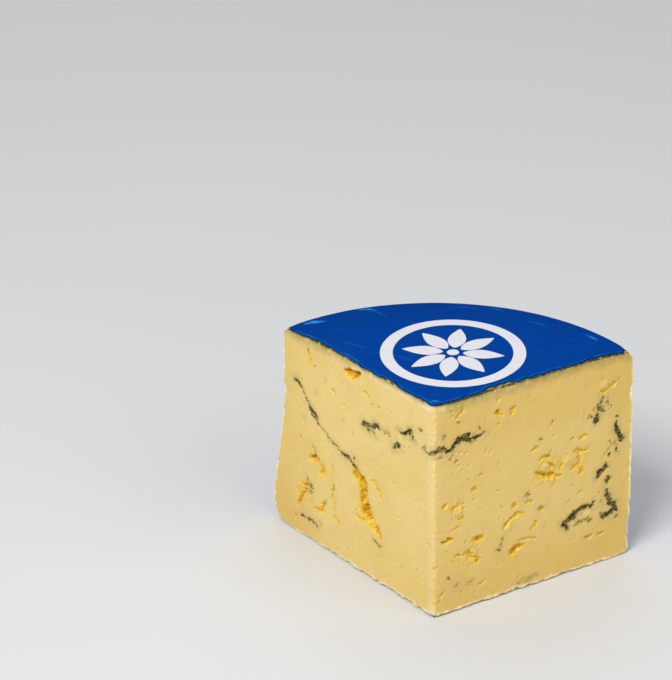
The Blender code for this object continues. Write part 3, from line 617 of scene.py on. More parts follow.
def cheese_material():
    """Cream-coloured paste, deeper in tone in places, with mould, amber hollows, dry edges, and painted
    shade under the foil and along the base.
    """
    material, tree, shader, coords = new_material("cheese_cut")
    marks = add_node(tree, 'ShaderNodeAttribute', attribute_name="marks").outputs['Vector']
    marks = add_node(tree, 'ShaderNodeSeparateXYZ', {'Vector': marks}).outputs
    mould, amber, halo = marks['X'], marks['Y'], marks['Z']
    tones = add_node(tree, 'ShaderNodeAttribute', attribute_name="tones").outputs['Vector']
    tones = add_node(tree, 'ShaderNodeSeparateXYZ', {'Vector': tones}).outputs
    deeper_tone, painted_shade, dry = tones['X'], tones['Y'], tones['Z']
    broad = grain(tree, coords, 16.0, 2.0)
    middle = grain(tree, coords, 4.5, 2.0)
    close = grain(tree, coords, 2.2, 3.0, 0.6)
    fine = grain(tree, coords, 0.7, 2.0)
    stroke = strokes(tree)
    paste = mixed(tree, spread_out(tree, broad, 0.35, 0.7), CREAM, CREAM_DEEP)
    paste = mixed(tree, spread_out(tree, middle, 0.52, 0.75, 0.0, 0.35), paste, CREAM_WARM)
    paste = mixed(tree, spread_out(tree, close, 0.35, 0.75, 0.0, 0.3), paste, CREAM_DEEP)
    paste = mixed(tree, deeper_tone, paste, PASTE_DEEPER_TONE)
    paste = mixed(tree, spread_out(tree, dry, 0.0, 0.6), paste, DRY)
    paste = mixed(tree, spread_out(tree, dry, 0.5, 1.0), paste, DRIEST)
    # Painted shade under the foil and along the base, mottled
    mottled_shade = maths(tree, 'MULTIPLY', painted_shade, spread_out(tree, close, 0.3, 0.6, 0.7, 1.1))
    paste = mixed(tree, spread_out(tree, mottled_shade, 0.0, 0.75), paste, PASTE_IN_SHADE)
    paste = mixed(tree, spread_out(tree, mottled_shade, 0.75, 1.0), paste, PASTE_IN_DEEP_SHADE)
    haze = maths(tree, 'MULTIPLY', halo, spread_out(tree, middle, 0.36, 0.60, 0.2, 0.9))
    paste = mixed(tree, haze, paste, MOULD_HALO)
    crumb = grain(tree, coords, 3.2, 4.0, 0.6)
    # The hollows' amber, darker where it is strongest, in deep hollows and crevices: partly its own colour,
    # partly painted shade
    hollow = mixed(tree, spread_out(tree, maths(tree, 'ADD', amber, crumb), 1.4, 1.75), AMBER, AMBER_DEEP)
    hollow = mixed(tree, spread_out(tree, crumb, 0.48, 0.34, 0.0, 0.7), hollow, AMBER_CRUMB)
    paste = mixed(tree, spread_out(tree, amber, 0.05, 0.6, 0.0, 0.97), paste, hollow)
    streaked = maths(tree, 'MULTIPLY', maths(tree, 'SUBTRACT', stroke, 0.5), 3.2)
    streaked = maths(tree, 'ADD', maths(tree, 'MULTIPLY', mould, 0.9), streaked)
    streaked = maths(tree, 'MINIMUM', streaked, maths(tree, 'MULTIPLY', mould, 3.0))
    paste = mixed(tree, spread_out(tree, streaked, 0.40, 0.85, 0.0, 0.92), paste, MOULD_OLIVE)
    paste = mixed(tree, spread_out(tree, streaked, 0.72, 0.98, 0.0, 0.98), paste, MOULD)
    tree.links.new(paste, shader.inputs['Base Color'])
    tree.links.new(spread_out(tree, close, 0.3, 0.7, 0.42, 0.58), shader.inputs['Roughness'])
    shader.inputs['Subsurface Weight'].default_value = 0.25
    shader.inputs['Subsurface Radius'].default_value = (1.0, 0.6, 0.2)
    shader.inputs['Subsurface Scale'].default_value = 1.3 * MM
    shader.inputs['Specular IOR Level'].default_value = 0.15
    shader.inputs['Specular Tint'].default_value = CHEESE_SHINE
    relief = bump(tree, close, 0.25, 0.6)
    relief = bump(tree, fine, 0.28, 0.2, relief)
    relief = bump(tree, maths(tree, 'MULTIPLY', crumb, amber), 0.35, -1.6, relief)
    relief = bump(tree, maths(tree, 'MULTIPLY', stroke, mould), 0.6, -0.8, relief)
    tree.links.new(relief, shader.inputs['Normal'])
    return material


FOIL_BLUE = (0.0, 0.060, 0.31, 1.0)
FOIL_BLUE_DEEP = (0.0, 0.056, 0.29, 1.0)
# A paler blue painted along the top foil's creases and cut edges as a highlight
FOIL_PAINTED_HIGHLIGHT = (0.06, 0.42, 0.95, 1.0)
FOIL_SHADED = (0.0, 0.012, 0.04, 1.0)
FOIL_EDGE_TINT = (0.15, 0.5, 1.0, 1.0)
BARE_FOIL = (0.12, 0.22, 0.36, 1.0)
BARE_FOIL_BLUE = (0.01, 0.07, 0.22, 1.0)

# Folds of the foil round the rim: lean in degrees, spacing in mm and share of the folds' height.
# The wave texture repeats after WAVE_PERIOD millimetres at scale 1
FOLDS = ((14.0, 36.0, 0.45), (-37.0, 29.0, 0.35), (68.0, 44.0, 0.30), (-8.0, 13.0, 0.09), (47.0, 9.0, 0.05))
FOLD_HEIGHT = 7.0
WAVE_PERIOD = 100.0 * math.pi

PRINT_WHITE = (0.65, 0.64, 0.69, 1.0)
PRINT_WHITE_DEEP = (0.62, 0.61, 0.66, 1.0)


def creases(tree, coords):
    """Height of crumpled foil about its mean: crossing folds with flat facets between them."""
    height = -sum(share for _, _, share in FOLDS) / 2
    for lean, spacing, share in FOLDS:
        turned = (0.0, math.radians(lean), 0.0)
        drawn = add_node(tree, 'ShaderNodeMapping', {'Vector': coords, 'Rotation': turned})
        inputs = {'Vector': drawn.outputs[0], 'Scale': WAVE_PERIOD / spacing, 'Distortion': 3.5,
                  'Detail': 1.0, 'Detail Scale': 1.3}
        wave = add_node(tree, 'ShaderNodeTexWave', inputs, wave_profile='TRI').outputs['Fac']
        height = maths(tree, 'ADD', maths(tree, 'MULTIPLY', wave, share), height)
    return height


def foil_relief(tree, coords):
    """Brush lines across the foil and a faint crumple: the lines, and both as a bump."""
    drawn = add_node(tree, 'ShaderNodeMapping', {'Vector': coords, 'Scale': (60.0, 700.0, 300.0),
                                                 'Rotation': (0.0, 0.0, math.radians(-12))})
    inputs = {'Vector': drawn.outputs[0], 'Scale': 1.0, 'Detail': 3.0, 'Roughness': 0.6}
    lines = add_node(tree, 'ShaderNodeTexNoise', inputs).outputs['Fac']
    relief = bump(tree, grain(tree, coords, 5.0, 3.0, 0.55), 0.12, 0.5)
    return lines, bump(tree, lines, 0.05, 0.1, relief)


def foil_material():
    """Blue lacquer over aluminium foil.

    It has painted highlights, a paler blue, along its creases and just inside its cut edges, painted shade,
    dark, where its edge turns down, and it is crumpled round the rim.
    """
    material, tree, shader, coords = new_material("blue_foil_lacquer")
    lines, relief = foil_relief(tree, coords)
    blue = mixed(tree, spread_out(tree, lines, 0.3, 0.75), FOIL_BLUE, FOIL_BLUE_DEEP)
    sheen_shade_folds = add_node(tree, 'ShaderNodeAttribute', attribute_name="sheen_shade_folds").outputs['Vector']
    sheen_shade_folds = add_node(tree, 'ShaderNodeSeparateXYZ', {'Vector': sheen_shade_folds}).outputs
    # Painted highlight along the creases and cut edges, then painted shade where the edge turns down
    blue = mixed(tree, sheen_shade_folds['X'], blue, FOIL_PAINTED_HIGHLIGHT)
    blue = mixed(tree, sheen_shade_folds['Y'], blue, FOIL_SHADED)
    relief = bump(tree, maths(tree, 'MULTIPLY', creases(tree, coords), sheen_shade_folds['Z']), 1.0, FOLD_HEIGHT, relief)
    tree.links.new(blue, shader.inputs['Base Color'])
    tree.links.new(spread_out(tree, lines, 0.3, 0.8, 0.36, 0.44), shader.inputs['Roughness'])
    shader.inputs['Metallic'].default_value = 0.92
    shader.inputs['Specular IOR Level'].default_value = 0.1
    shader.inputs['Specular Tint'].default_value = FOIL_EDGE_TINT
    tree.links.new(relief, shader.inputs['Normal'])
    return material


def bare_foil_material():
    """The inner side and cut edge of the foil: dull metal with traces of the lacquer."""
    material, tree, shader, coords = new_material("bare_foil")
    sheen_and_scuffs = grain(tree, coords, 1.5, 2.0)
    colour = mixed(tree, spread_out(tree, sheen_and_scuffs, 0.35, 0.65), BARE_FOIL, BARE_FOIL_BLUE)
    tree.links.new(colour, shader.inputs['Base Color'])
    shader.inputs['Metallic'].default_value = 0.7
    shader.inputs['Roughness'].default_value = 0.42
    tree.links.new(bump(tree, sheen_and_scuffs, 0.2, 0.1), shader.inputs['Normal'])
    return material


def print_material():
    """White ink on the foil."""
    material, tree, shader, coords = new_material("white_print")
    lines, relief = foil_relief(tree, coords)
    white = mixed(tree, spread_out(tree, lines, 0.3, 0.75), PRINT_WHITE, PRINT_WHITE_DEEP)
    tree.links.new(white, shader.inputs['Base Color'])
    shader.inputs['Roughness'].default_value = 0.5
    tree.links.new(relief, shader.inputs['Normal'])
    return material


# The cheese's surface

def quads(grid):
    """Faces between the neighbours in a grid of vertex numbers."""
    return np.stack((grid[:-1, :-1], grid[:-1, 1:], grid[1:, 1:], grid[1:, :-1]), -1).reshape(-1, 4)


def face_patch(top, rim, base):
    """Even cells inside the outline of a cut face, as (row, column, reach and height)."""
    out = np.linspace(0.0, 1.0, CELLS_OUT + 1)[None, :, None]
    up = np.linspace(0.0, 1.0, CELLS_UP + 1)[:, None, None]
    low = base[None]
    high = top[None]
    far = rim[:, None]
    heights = np.linspace(base[0, 1], top[0, 1], CELLS_UP + 1)
    near = np.stack((np.full(heights.shape, POINT_START), heights), -1)[:, None]
    ruled = (1 - up) * low + up * high + (1 - out) * near + out * far
    corners = ((1 - out) * ((1 - up) * low[:, :1] + up * high[:, :1])
               + out * ((1 - up) * low[:, -1:] + up * high[:, -1:]))
    return ruled - corners


def paste_outline(side_inset):
    """The cheese's own outline in even steps: its top, its rim upwards and its base outwards."""
    top_run, rim_run, base_run = half_section(FOIL_THICKNESS + FOIL_GAP, side_inset)
    top_run = np.vstack(((POINT_START, top_run[0, 1]), top_run[1:]))
    base_run = np.vstack((base_run[:-1], (POINT_START, base_run[-1, 1])))
    return spaced(top_run, CELLS_OUT), spaced(rim_run, CELLS_UP)[::-1], spaced(base_run, CELLS_OUT)[::-1]


def front_sheet():
    """Both cut faces and the blunted point as one sheet: rows go up, columns left to right.

    Returns positions, outward normals and the signed distance s.
    """
    patch = face_patch(*paste_outline(CHEESE_LIP))
    sides = []
    for side in (-1, 1):
        reach = patch[..., 0] + rim_stray(side, patch[..., 0], patch[..., 1])
        points = wheel_point(reach, patch[..., 1], side * HALF_OPENING)
        signed = side * np.linalg.norm(points[..., :2], axis=-1)
        sides.append((points, np.broadcast_to(cut_normal(side), points.shape), signed))
    swing = math.pi / 2 - HALF_OPENING
    angles = np.linspace(-swing, swing, CELLS_ROUND + 1)[None, 1:-1]
    heights = patch[:, :1, 1]
    around = np.stack(np.broadcast_arrays(np.sin(angles), -np.cos(angles), 0 * heights), axis=-1)
    centre = np.array((0.0, POINT_ROUNDING / math.sin(HALF_OPENING), 0.0))
    blunt = centre + POINT_ROUNDING * around
    blunt[..., 2] = heights
    blunt_s = np.broadcast_to(POINT_START * angles / swing, blunt.shape[:-1])
    left, right = sides
    points = np.concatenate((left[0][:, ::-1], blunt, right[0]), axis=1)
    normals = np.concatenate((left[1][:, ::-1], around, right[1]), axis=1)
    signed = np.concatenate((left[2][:, ::-1], blunt_s, right[2]), axis=1)
    return points, normals, signed


def cheese_faces():
    """Quads of the front sheet, then of the surfaces under the foil, which share its edges."""
    rows = CELLS_UP + 1
    columns = 2 * CELLS_OUT + CELLS_ROUND + 1
    front = np.arange(rows * columns).reshape(rows, columns)
    last = columns - 1
    left = np.concatenate((front[-1, CELLS_OUT::-1], front[-2::-1, 0], front[0, 1:CELLS_OUT + 1]))
    right = np.concatenate((front[-1, last - CELLS_OUT:], front[-2::-1, last],
                            front[0, last - 1:last - CELLS_OUT - 1:-1]))
    inner = np.arange((len(left) - 2) * (CELLS_ROUND - 1)).reshape(len(left) - 2, -1) + front.size
    ends = [front[row, CELLS_OUT + 1:last - CELLS_OUT] for row in (-1, 0)]
    back = np.column_stack((left, np.vstack((ends[0], inner, ends[1])), right))
    return np.vstack((quads(front), quads(back)))


def back_points():
    """The surfaces under the foil: over the top, down the rim and under the base.

    The cheese draws back to the foil's inner side within a millimetre or so of each cut.
    """
    top, rim, base = paste_outline(FOIL_THICKNESS + FOIL_GAP)
    path = np.vstack((top[1:], rim[-2::-1], base[-2:0:-1]))
    even = np.linspace(-HALF_OPENING, HALF_OPENING, CELLS_ROUND + 1)[1:-1]
    turns = np.tile(even, (len(path), 1))
    near = np.minimum(0.8 * FOIL_RECESS / path[:, 0], HALF_OPENING + even[0])
    turns[:, 0] = near - HALF_OPENING
    turns[:, -1] = HALF_OPENING - near
    return wheel_point(path[:, :1], path[:, 1:], turns).reshape(-1, 3)


class Relief:
    """What the marks do to each place of the front sheet: its depth and its colours."""

    def __init__(self, s, z):
        self.s = s
        self.z = z
        self.depth = np.zeros(s.shape)
        self.mould = np.zeros(s.shape)
        self.amber = np.zeros(s.shape)
        self.halo = np.zeros(s.shape)
        self.pale = np.zeros(s.shape)

    def near(self, places, margin):
        """The places close enough to a mark to be changed by it."""
        s_values = [place[0] for place in places]
        z_values = [place[1] for place in places]
        return ((self.s > min(s_values) - margin) & (self.s < max(s_values) + margin)
                & (self.z > min(z_values) - margin) & (self.z < max(z_values) + margin))

    def cut(self, deep, mould, amber, places):
        """One hollow or vein, with sloping walls and a stain round it."""
        widest = max(place[2] for place in places)
        chosen = self.near(places, 6.0)
        inside = inside_track(self.s[chosen], self.z[chosen], places)
        wall = max(0.4, 0.32 * widest)
        soak = 0.06 * widest
        self.depth[chosen] = np.maximum(self.depth[chosen], deep * smooth_step(-0.2, wall, inside))
        self.amber[chosen] = np.maximum(self.amber[chosen], amber * smooth_step(-0.6, 0.45, inside))
        self.mould[chosen] = np.maximum(self.mould[chosen], mould * smooth_step(-1.1, 0.3, inside + soak))
        haze = mould * smooth_step(0.4, 2.0, widest) * smooth_step(-4.4, 0.4, inside)
        self.halo[chosen] = np.maximum(self.halo[chosen], haze)

    def roughen(self, points):
        """Breaks the hollows and the torn patches into crumbs with amber between them, more of it in the
        crevices, where its darker tone is partly painted shade.
        """
        torn = np.zeros(self.s.shape)
        for s0, z0, reach in CRUMBLY:
            torn = np.maximum(torn, smooth_step(reach, reach * 0.4, np.hypot(self.s - s0, self.z - z0)))
        hollow = smooth_step(0.05, 0.4, self.amber)
        rough = np.maximum(hollow, 0.5 * torn)
        chosen = rough > 0.01
        between = np.zeros(self.s.shape)
        between[chosen] = 0.6 * crevices(points[chosen], 4.4) + 0.4 * crevices(points[chosen], 1.9)
        self.depth *= 1 + 0.7 * wobble(points, 2.4, 13)
        self.depth += rough * (0.35 * (between - 0.5) + 0.45 * wobble(points, 1.6, 24))
        self.amber *= 0.62 + 0.5 * between
        self.pale = 0.35 * rough * smooth_step(0.3, 0.0, between)
        self.amber = np.maximum(self.amber, 0.40 * torn * smooth_step(0.6, 0.95, between))


def edge_distance(points):
    """Distance of each place from the foil's edge at the top, from the base and from the rim."""
    over = np.linalg.norm(points - points[-1:], axis=-1)
    below = np.linalg.norm(points - points[:1], axis=-1)
    left = np.linalg.norm(points - points[:, :1], axis=-1)
    right = np.linalg.norm(points - points[:, -1:], axis=-1)
    return over, below, np.minimum(left, right)


def chips(points, s, over, below, beside):
    """Crumbled edges: drawn back under the foil, scalloped at the rim and undercut at the base."""
    ragged = smooth_step(-0.3, 0.5, wobble(points, 3.4, 5)) * (0.6 + 0.6 * wobble(points, 1.1, 6))
    top_edge = 0.3 * smooth_step(0.8, 0.0, over) + (0.15 + 0.5 * ragged) * smooth_step(3.2, 0.3, over)
    scallop = smooth_step(-0.2, 0.5, wobble(points, 4.5, 15)) - 0.5 + 0.5 * wobble(points, 1.5, 16)
    other_edge = 0.10 * smooth_step(0.7, 0.0, beside)
    other_edge += 1.0 * scallop * smooth_step(2.2, 0.3, np.minimum(below, beside))
    undercut = 1.1 * smooth_step(1.3, 0.3, below + 1.3 * wobble(points, 2.6, 17))
    point = 0.35 * wobble(points, 1.5, 18) * smooth_step(3.0, 0.5, np.abs(s))
    return np.maximum(top_edge, 0.0) + np.maximum(other_edge, -0.2) + undercut + point


def tones(points, s, z, over, below, beside):
    """How deep in tone, how much painted shade and how dry the paste is at each place.

    It is darker and warmer towards the rim, low down and on the right face, where it is partly
    painted shade. It has painted shade under the top foil and a painted shadow line along the
    base. It dries along the rim and the base, and along the left of the point it is paler, partly
    drier and partly a painted highlight.
    """
    # Darker, warmer paste towards the rim, low down and on the right face; on the right face, and in its
    # soft start beside the point, it is partly painted shade
    rimward = 0.45 * smooth_step(72.0, 104.0, -s) + 0.35 * smooth_step(76.0, 100.0, s)
    outwards = np.maximum(smooth_step(-80.0, 30.0, s), smooth_step(-70.0, -95.0, s))
    low = 0.45 * smooth_step(38.0, 4.0, z) * outwards
    right = smooth_step(-0.5, 5.0, s) * (0.3 + 0.35 * smooth_step(66.0, 86.0, z))
    deeper_tone = 0.12 + rimward + low + right
    leftward = smooth_step(40.0, 80.0, -s)
    # Painted shade in a band under the top foil, a darker line of it right beneath the foil's edge, and a
    # painted shadow line along the base
    reach = np.where(s < 0, 4.2 + 3.0 * leftward, 7.6) + 1.6 * wobble(points, 5.0, 10)
    painted_shade = np.where(s < 0, 0.54 + 0.12 * leftward, 0.64) * smooth_step(-2.0, 10.0, np.abs(s))
    painted_shade = painted_shade * smooth_step(reach, 0.2, over)
    off_point = smooth_step(0.5, 4.0, np.abs(s))
    slit_shade = np.where(s < 0, 0.4, 1.0) * smooth_step(1.0, 0.4, over) * off_point
    painted_shade = np.maximum(painted_shade + slit_shade, 0.85 * smooth_step(0.5, 0.25, below))
    crumbs = smooth_step(4.2, 1.4, over + 1.2 * wobble(points, 2.4, 23)) * off_point
    crumbs *= np.where(s < 0, 0.6 + 0.25 * smooth_step(60.0, 20.0, -s), 0.6 * smooth_step(75.0, 30.0, s))
    lip = smooth_step(1.3, 0.3, beside + 0.6 * wobble(points, 2.6, 14))
    base = smooth_step(2.9, 1.6, below + wobble(points, 2.0, 20)) * smooth_step(0.25, 0.5, below)
    base *= 0.45 + 0.55 * smooth_step(-0.35, 0.25, wobble(points, 3.0, 19))
    # A paler band along the left of the point: partly drier paste, partly a painted highlight where the
    # rounded point catches the light
    point = 0.24 * smooth_step(-6.5, -2.0, s) * smooth_step(0.6, -1.2, s)
    point *= 1 + 0.8 * wobble(points, 1.8, 21)
    foot = 0.4 * smooth_step(-6.0, -2.0, s) * smooth_step(3.0, 0.0, s) * smooth_step(9.0, 2.0, z)
    dry = np.maximum(np.maximum(lip, base), crumbs) + point + foot
    return np.stack((np.clip(deeper_tone, 0.0, 0.95), np.clip(painted_shade, 0.0, 1.0), np.clip(dry, 0.0, 1.0)), axis=-1)


def marked(points, s, z):
    """The relief with every mark, speck, stain and pinhole, at places that stray a little."""
    sway = 0.5 * wobble(points, 4.5, 1) + 0.8 * wobble(points, 1.7, 2) + 0.5 * wobble(points, 1.0, 11)
    rise = 0.5 * wobble(points, 4.5, 3) + 0.8 * wobble(points, 1.7, 4) + 0.5 * wobble(points, 1.0, 12)
    relief = Relief(s + sway, z + rise)
    for deep, mould, amber, places in MARKS:
        scale = HOLLOW_DEPTH_LEFT if places[0][0] < 0 else HOLLOW_DEPTH_RIGHT
        relief.cut(scale * deep, mould, amber, places)
    for speck in SPECKS:
        relief.cut(SPECK_DEPTH, SPECK_MOULD, 0.0, (speck,))
    for s0, z0, wide in STAINS:
        away = np.hypot(relief.s - s0, relief.z - z0)
        relief.halo = np.maximum(relief.halo, STAIN_STRENGTH * smooth_step(wide / 2 + 1.0, 0.0, away))
    draw = np.random.default_rng(PINHOLE_SEED)
    for _ in range(PINHOLES):
        wide = draw.uniform(*PINHOLE_WIDTH)
        place = (draw.uniform(*PINHOLE_S), draw.uniform(*PINHOLE_Z), wide)
        relief.cut(0.45 * wide, 0.0, 0.3 * wide, (place,))
    relief.roughen(points)
    return relief


def make_cheese(material):
    """The cheese, with its relief worked into the mesh and its colours stored on it."""
    points, normals, s = front_sheet()
    z = points[..., 2]
    relief = marked(points, s, z)
    depth = relief.depth
    for s0, z0, wide, proud in SWELLINGS:
        depth = depth - proud * smooth_step(wide / 2, 0.0, np.hypot(relief.s - s0, relief.z - z0))
    over, below, beside = edge_distance(points)
    depth += UNEVEN_MEAN + chips(points, s, over, below, beside)
    for uneven, size, seed in UNEVEN:
        depth += uneven * wobble(points, size, seed)
    shaped = points - normals * np.maximum(depth, -0.4)[..., None]
    piece = put_down("cheese_wedge", np.vstack((shaped.reshape(-1, 3), back_points())),
                     cheese_faces().tolist(), material)
    marks = np.stack((relief.mould, relief.amber, relief.halo), axis=-1)
    paint(piece, "marks", marks.reshape(-1, 3))
    tone = tones(points, s, z, over, below, beside)
    tone[..., 2] = np.maximum(tone[..., 2], relief.pale)
    paint(piece, "tones", tone.reshape(-1, 3), UNDER_FOIL)
    slope = np.where(s < 0, STROKE_SLOPE_LEFT, STROKE_SLOPE_RIGHT)
    drift = 0.9 * wobble(points, 3.0, 22)
    stroke_place = np.stack((s + drift, z - slope * s + drift, 0 * s), axis=-1)
    paint(piece, "stroke_place", stroke_place.reshape(-1, 3))
    smooth(piece, 60)
    return piece


def paint(piece, name, values, rest=(0.0, 0.0, 0.0)):
    """Stores values at the piece's first places as an attribute, and rest at the others."""
    every = np.tile(rest, (len(piece.data.vertices), 1))
    every[:len(values)] = values
    layer = piece.data.attributes.new(name, 'FLOAT_VECTOR', 'POINT')
    layer.data.foreach_set("vector", every.ravel())


# The foil

def foil_turns():
    """Turns of the foil's columns, closer together near the cut edges."""
    near = np.array(EDGE_STEPS) / RADIUS
    most = HALF_OPENING - EDGE_BAND / RADIUS
    inner = np.linspace(-most, most, MIDDLE_COLUMNS)
    return np.concatenate((-HALF_OPENING + near, inner, (HALF_OPENING - near)[::-1]))


def pleat_share(height):
    """Pleats grow below the shoulder and die out at the foot."""
    below_shoulder = smooth_step(0.0, PLEAT_TOP_FADE, HEIGHT - SHOULDER - height)
    above_foot = smooth_step(0.0, PLEAT_FOOT_FADE, height - FOOT_HEIGHT)
    return below_shoulder * above_foot


def vary(index, stride=1.0):
    """A repeatable value between -1 and 1 for one pleat."""
    return math.sin(PLEAT_SEED * (index + 1) * stride)


def pleat_rise(turn, height):
    """Height of the foil's leaning folds round the rim."""
    pitch = 2 * HALF_OPENING / PLEATS
    share = pleat_share(height)
    total = np.zeros(np.broadcast(turn, height).shape)
    for index in range(PLEATS):
        middle = -HALF_OPENING + pitch * (index + 0.5 + PLEAT_SHIFT * vary(index))
        lean = pitch * PLEAT_LEAN * vary(index, LEAN_STRIDE)
        rise = PLEAT_RISE * (1 - PLEAT_UNEVEN + PLEAT_UNEVEN * vary(index, RISE_STRIDE))
        offset = (turn - middle - lean * (0.5 - height / HEIGHT) * share) / (pitch * PLEAT_SHARE)
        total = np.maximum(total, rise * smooth_step(-1.0, 0.0, offset) * smooth_step(0.6, 0.0, offset))
    return total * share


def cut_edge(path, places):
    """How far the foil's cut edge strays past the cut at each step of its outline."""
    reach = path[:, 0]
    known = np.interp(reach, [place[0] for place in places], [place[1] for place in places])
    spots = np.column_stack((reach, path[:, 1], np.full(reach.shape, places[1][1])))
    stray = EDGE_OVERHANG + 0.2 * wobble(spots, 2.6, 41) + 0.1 * wobble(spots, 1.1, 42)
    known += stray * smooth_step(0.0, 5.0, reach)
    recess = -FOIL_RECESS + 0.3 * wobble(spots, 7.0, 43)
    past_top = smooth_step(RADIUS - 5.0, RADIUS - 2.4, reach)
    beyond = np.maximum(past_top, smooth_step(HEIGHT - 10.0, 0.0, path[:, 1]))
    return known * (1 - beyond) + recess * beyond


def foil_surface():
    """The foil's outside, from the point over the rim and back under the base.

    Returns positions, the outline that they follow and their distance from the nearer cut.
    """
    top, rim, base = half_section(0.0, 0.0)
    path = np.vstack((spaced(top, TOP_ROWS)[1:], spaced(rim, RIM_ROWS)[1:], spaced(base, BASE_ROWS)[1:-1]))
    reach = path[:, :1]
    height = path[:, 1:]
    turns = foil_turns()[None, :]
    side_stray = np.where(turns < 0, rim_stray(-1, reach, height), rim_stray(1, reach, height))
    near_cut = smooth_step(HALF_OPENING - EDGE_REACH / RADIUS, HALF_OPENING, np.abs(turns))
    points = wheel_point(reach + pleat_rise(turns, height) + side_stray * near_cut, height, turns)
    nearest = np.full(points.shape[:-1], np.inf)
    moved = points.copy()
    for side, places in ((-1, LEFT_EDGE), (1, RIGHT_EDGE)):
        normal = cut_normal(side)
        within = -points @ normal
        pull = cut_edge(path, places)[:, None] * smooth_step(EDGE_REACH, 0.0, within)
        moved += pull[..., None] * normal
        nearest = np.minimum(nearest, within)
    return moved, path, nearest


def glints(x, y):
    """Strength of the thin creases in the top foil: it sets their dents and the highlight painted along
    them.
    """
    total = np.zeros(np.broadcast(x, y).shape)
    for shine, places in GLINTS:
        total = np.maximum(total, shine * smooth_step(-0.5, 0.4, inside_track(x, y, places)))
    return total


def top_sink(points):
    """How far the top foil lies below its ideal shape."""
    flat = points * np.array((1.0, 1.0, 0.0))
    soft = 0.14 + 0.10 * wobble(flat, 24.0, 61) + 0.03 * wobble(flat, 6.0, 62)
    return np.maximum(soft, 0.07) + GLINT_DEPTH * glints(points[..., 0], points[..., 1])


def crumple_foil(points, path):
    """Creases of the rim, and dents and a slight sag of the top, all towards the cheese."""
    on_side = pleat_share(path[:, 1])[:, None]
    stretched = points * np.array((1.0, 1.0, 0.38))
    ridges = (1 - np.abs(wobble(stretched, 9.0, 51))) ** 5
    ridges += 0.5 * (1 - np.abs(wobble(stretched, 4.0, 52))) ** 5
    outwards = points * np.array((1.0, 1.0, 0.0))
    outwards /= np.maximum(np.linalg.norm(outwards, axis=-1), 1.0)[..., None]
    points = points - outwards * (on_side * 0.38 * (1.1 - ridges))[..., None]
    on_top = smooth_step(SHOULDER + TOP_DROP, TOP_DROP, HEIGHT - path[:, 1])[:, None]
    points[..., 2] -= on_top * top_sink(points)
    return points


def foil_skins():
    """The foil's outer and inner side, with its painted highlights, its painted shade and how crumpled each
    place is.
    """
    outside, path, nearest = foil_surface()
    outside = crumple_foil(outside, path)
    normal = np.cross(np.gradient(outside, axis=1), np.gradient(outside, axis=0))
    normal /= np.maximum(np.linalg.norm(normal, axis=-1), 1e-9)[..., None]
    on_top = smooth_step(SHOULDER + TOP_DROP, TOP_DROP, HEIGHT - path[:, 1])[:, None]
    edge = smooth_step(0.9, 0.0, nearest) * smooth_step(3.0, 9.0, path[:, :1]) * on_top
    curl = EDGE_CURL * edge * wobble(outside, 4.0, 44)
    outside = outside + normal * np.minimum(curl, 0.07)[..., None]
    # Painted highlights: along the creases, and in a thin line just inside each cut edge
    crease_highlight = glints(outside[..., 0], outside[..., 1]) * (0.75 + 0.5 * wobble(outside, 1.8, 45))
    edge_highlight = np.clip(0.28 + 0.5 * wobble(outside, 5.0, 46), 0.03, 0.6)
    edge_highlight = edge_highlight * smooth_step(0.8, 1.1, nearest) * smooth_step(1.7, 1.3, nearest)
    sheen_and_scuffs = np.clip((crease_highlight + edge_highlight) * on_top, 0.0, 1.0)
    # Painted shade in a band along the top foil's cut edges, weaker on the left
    edge_shade_strength = np.where(outside[..., 0] < 0, 0.5, 1.0) * (1 + 0.6 * wobble(outside, 6.0, 47))
    shaded = np.clip(edge_shade_strength, 0.0, 1.0) * smooth_step(1.2, 0.8, nearest) * on_top
    crumpled = np.broadcast_to(1 - on_top, sheen_and_scuffs.shape)
    return outside, outside - normal * FOIL_THICKNESS, np.stack((sheen_and_scuffs, shaded, crumpled), axis=-1)


def sheet_faces(grid, top, base):
    """Faces of one side of the foil: its grid, closed to the axis at the top and the base."""
    faces = quads(grid).tolist()
    faces += [(top, other, one) for one, other in zip(grid[0], grid[0, 1:])]
    faces += [(base, one, other) for one, other in zip(grid[-1], grid[-1, 1:])]
    return faces


def make_foil(lacquer, bare):
    """A thin closed sheet: blue outside, bare metal inside and along its cut edges."""
    outside, inside, sheen_shade_folds = foil_skins()
    crown = HEIGHT - top_sink(np.zeros((1, 3)))[0]
    tips = [(0.0, 0.0, crown), (0.0, POINT_ROUNDING, 0.0),
            (0.0, 0.0, crown - FOIL_THICKNESS), (0.0, POINT_ROUNDING, FOIL_THICKNESS)]
    rows, columns = sheen_shade_folds.shape[:2]
    outer = np.arange(rows * columns).reshape(rows, columns)
    inner = outer + outer.size
    top_out, base_out, top_in, base_in = range(2 * outer.size, 2 * outer.size + 4)
    faces = sheet_faces(outer, top_out, base_out)
    lacquered = len(faces)
    faces += [face[::-1] for face in sheet_faces(inner, top_in, base_in)]
    for column, turned in ((0, True), (-1, False)):
        rim_out = [top_out] + outer[:, column].tolist() + [base_out]
        rim_in = [top_in] + inner[:, column].tolist() + [base_in]
        for row in range(len(rim_out) - 1):
            face = (rim_out[row], rim_in[row], rim_in[row + 1], rim_out[row + 1])
            faces.append(face[::-1] if turned else face)
    points = np.vstack((outside.reshape(-1, 3), inside.reshape(-1, 3), tips))
    points[:, 2] = np.maximum(points[:, 2], 0.0)
    piece = put_down("foil_sheet", points, faces, lacquer)
    piece.data.materials.append(bare)
    slots = np.zeros(len(faces), dtype=np.int32)
    slots[lacquered:] = 1
    piece.data.polygons.foreach_set("material_index", slots)
    paint(piece, "sheen_shade_folds", sheen_shade_folds.reshape(-1, 3))
    smooth(piece, 50)
    return piece


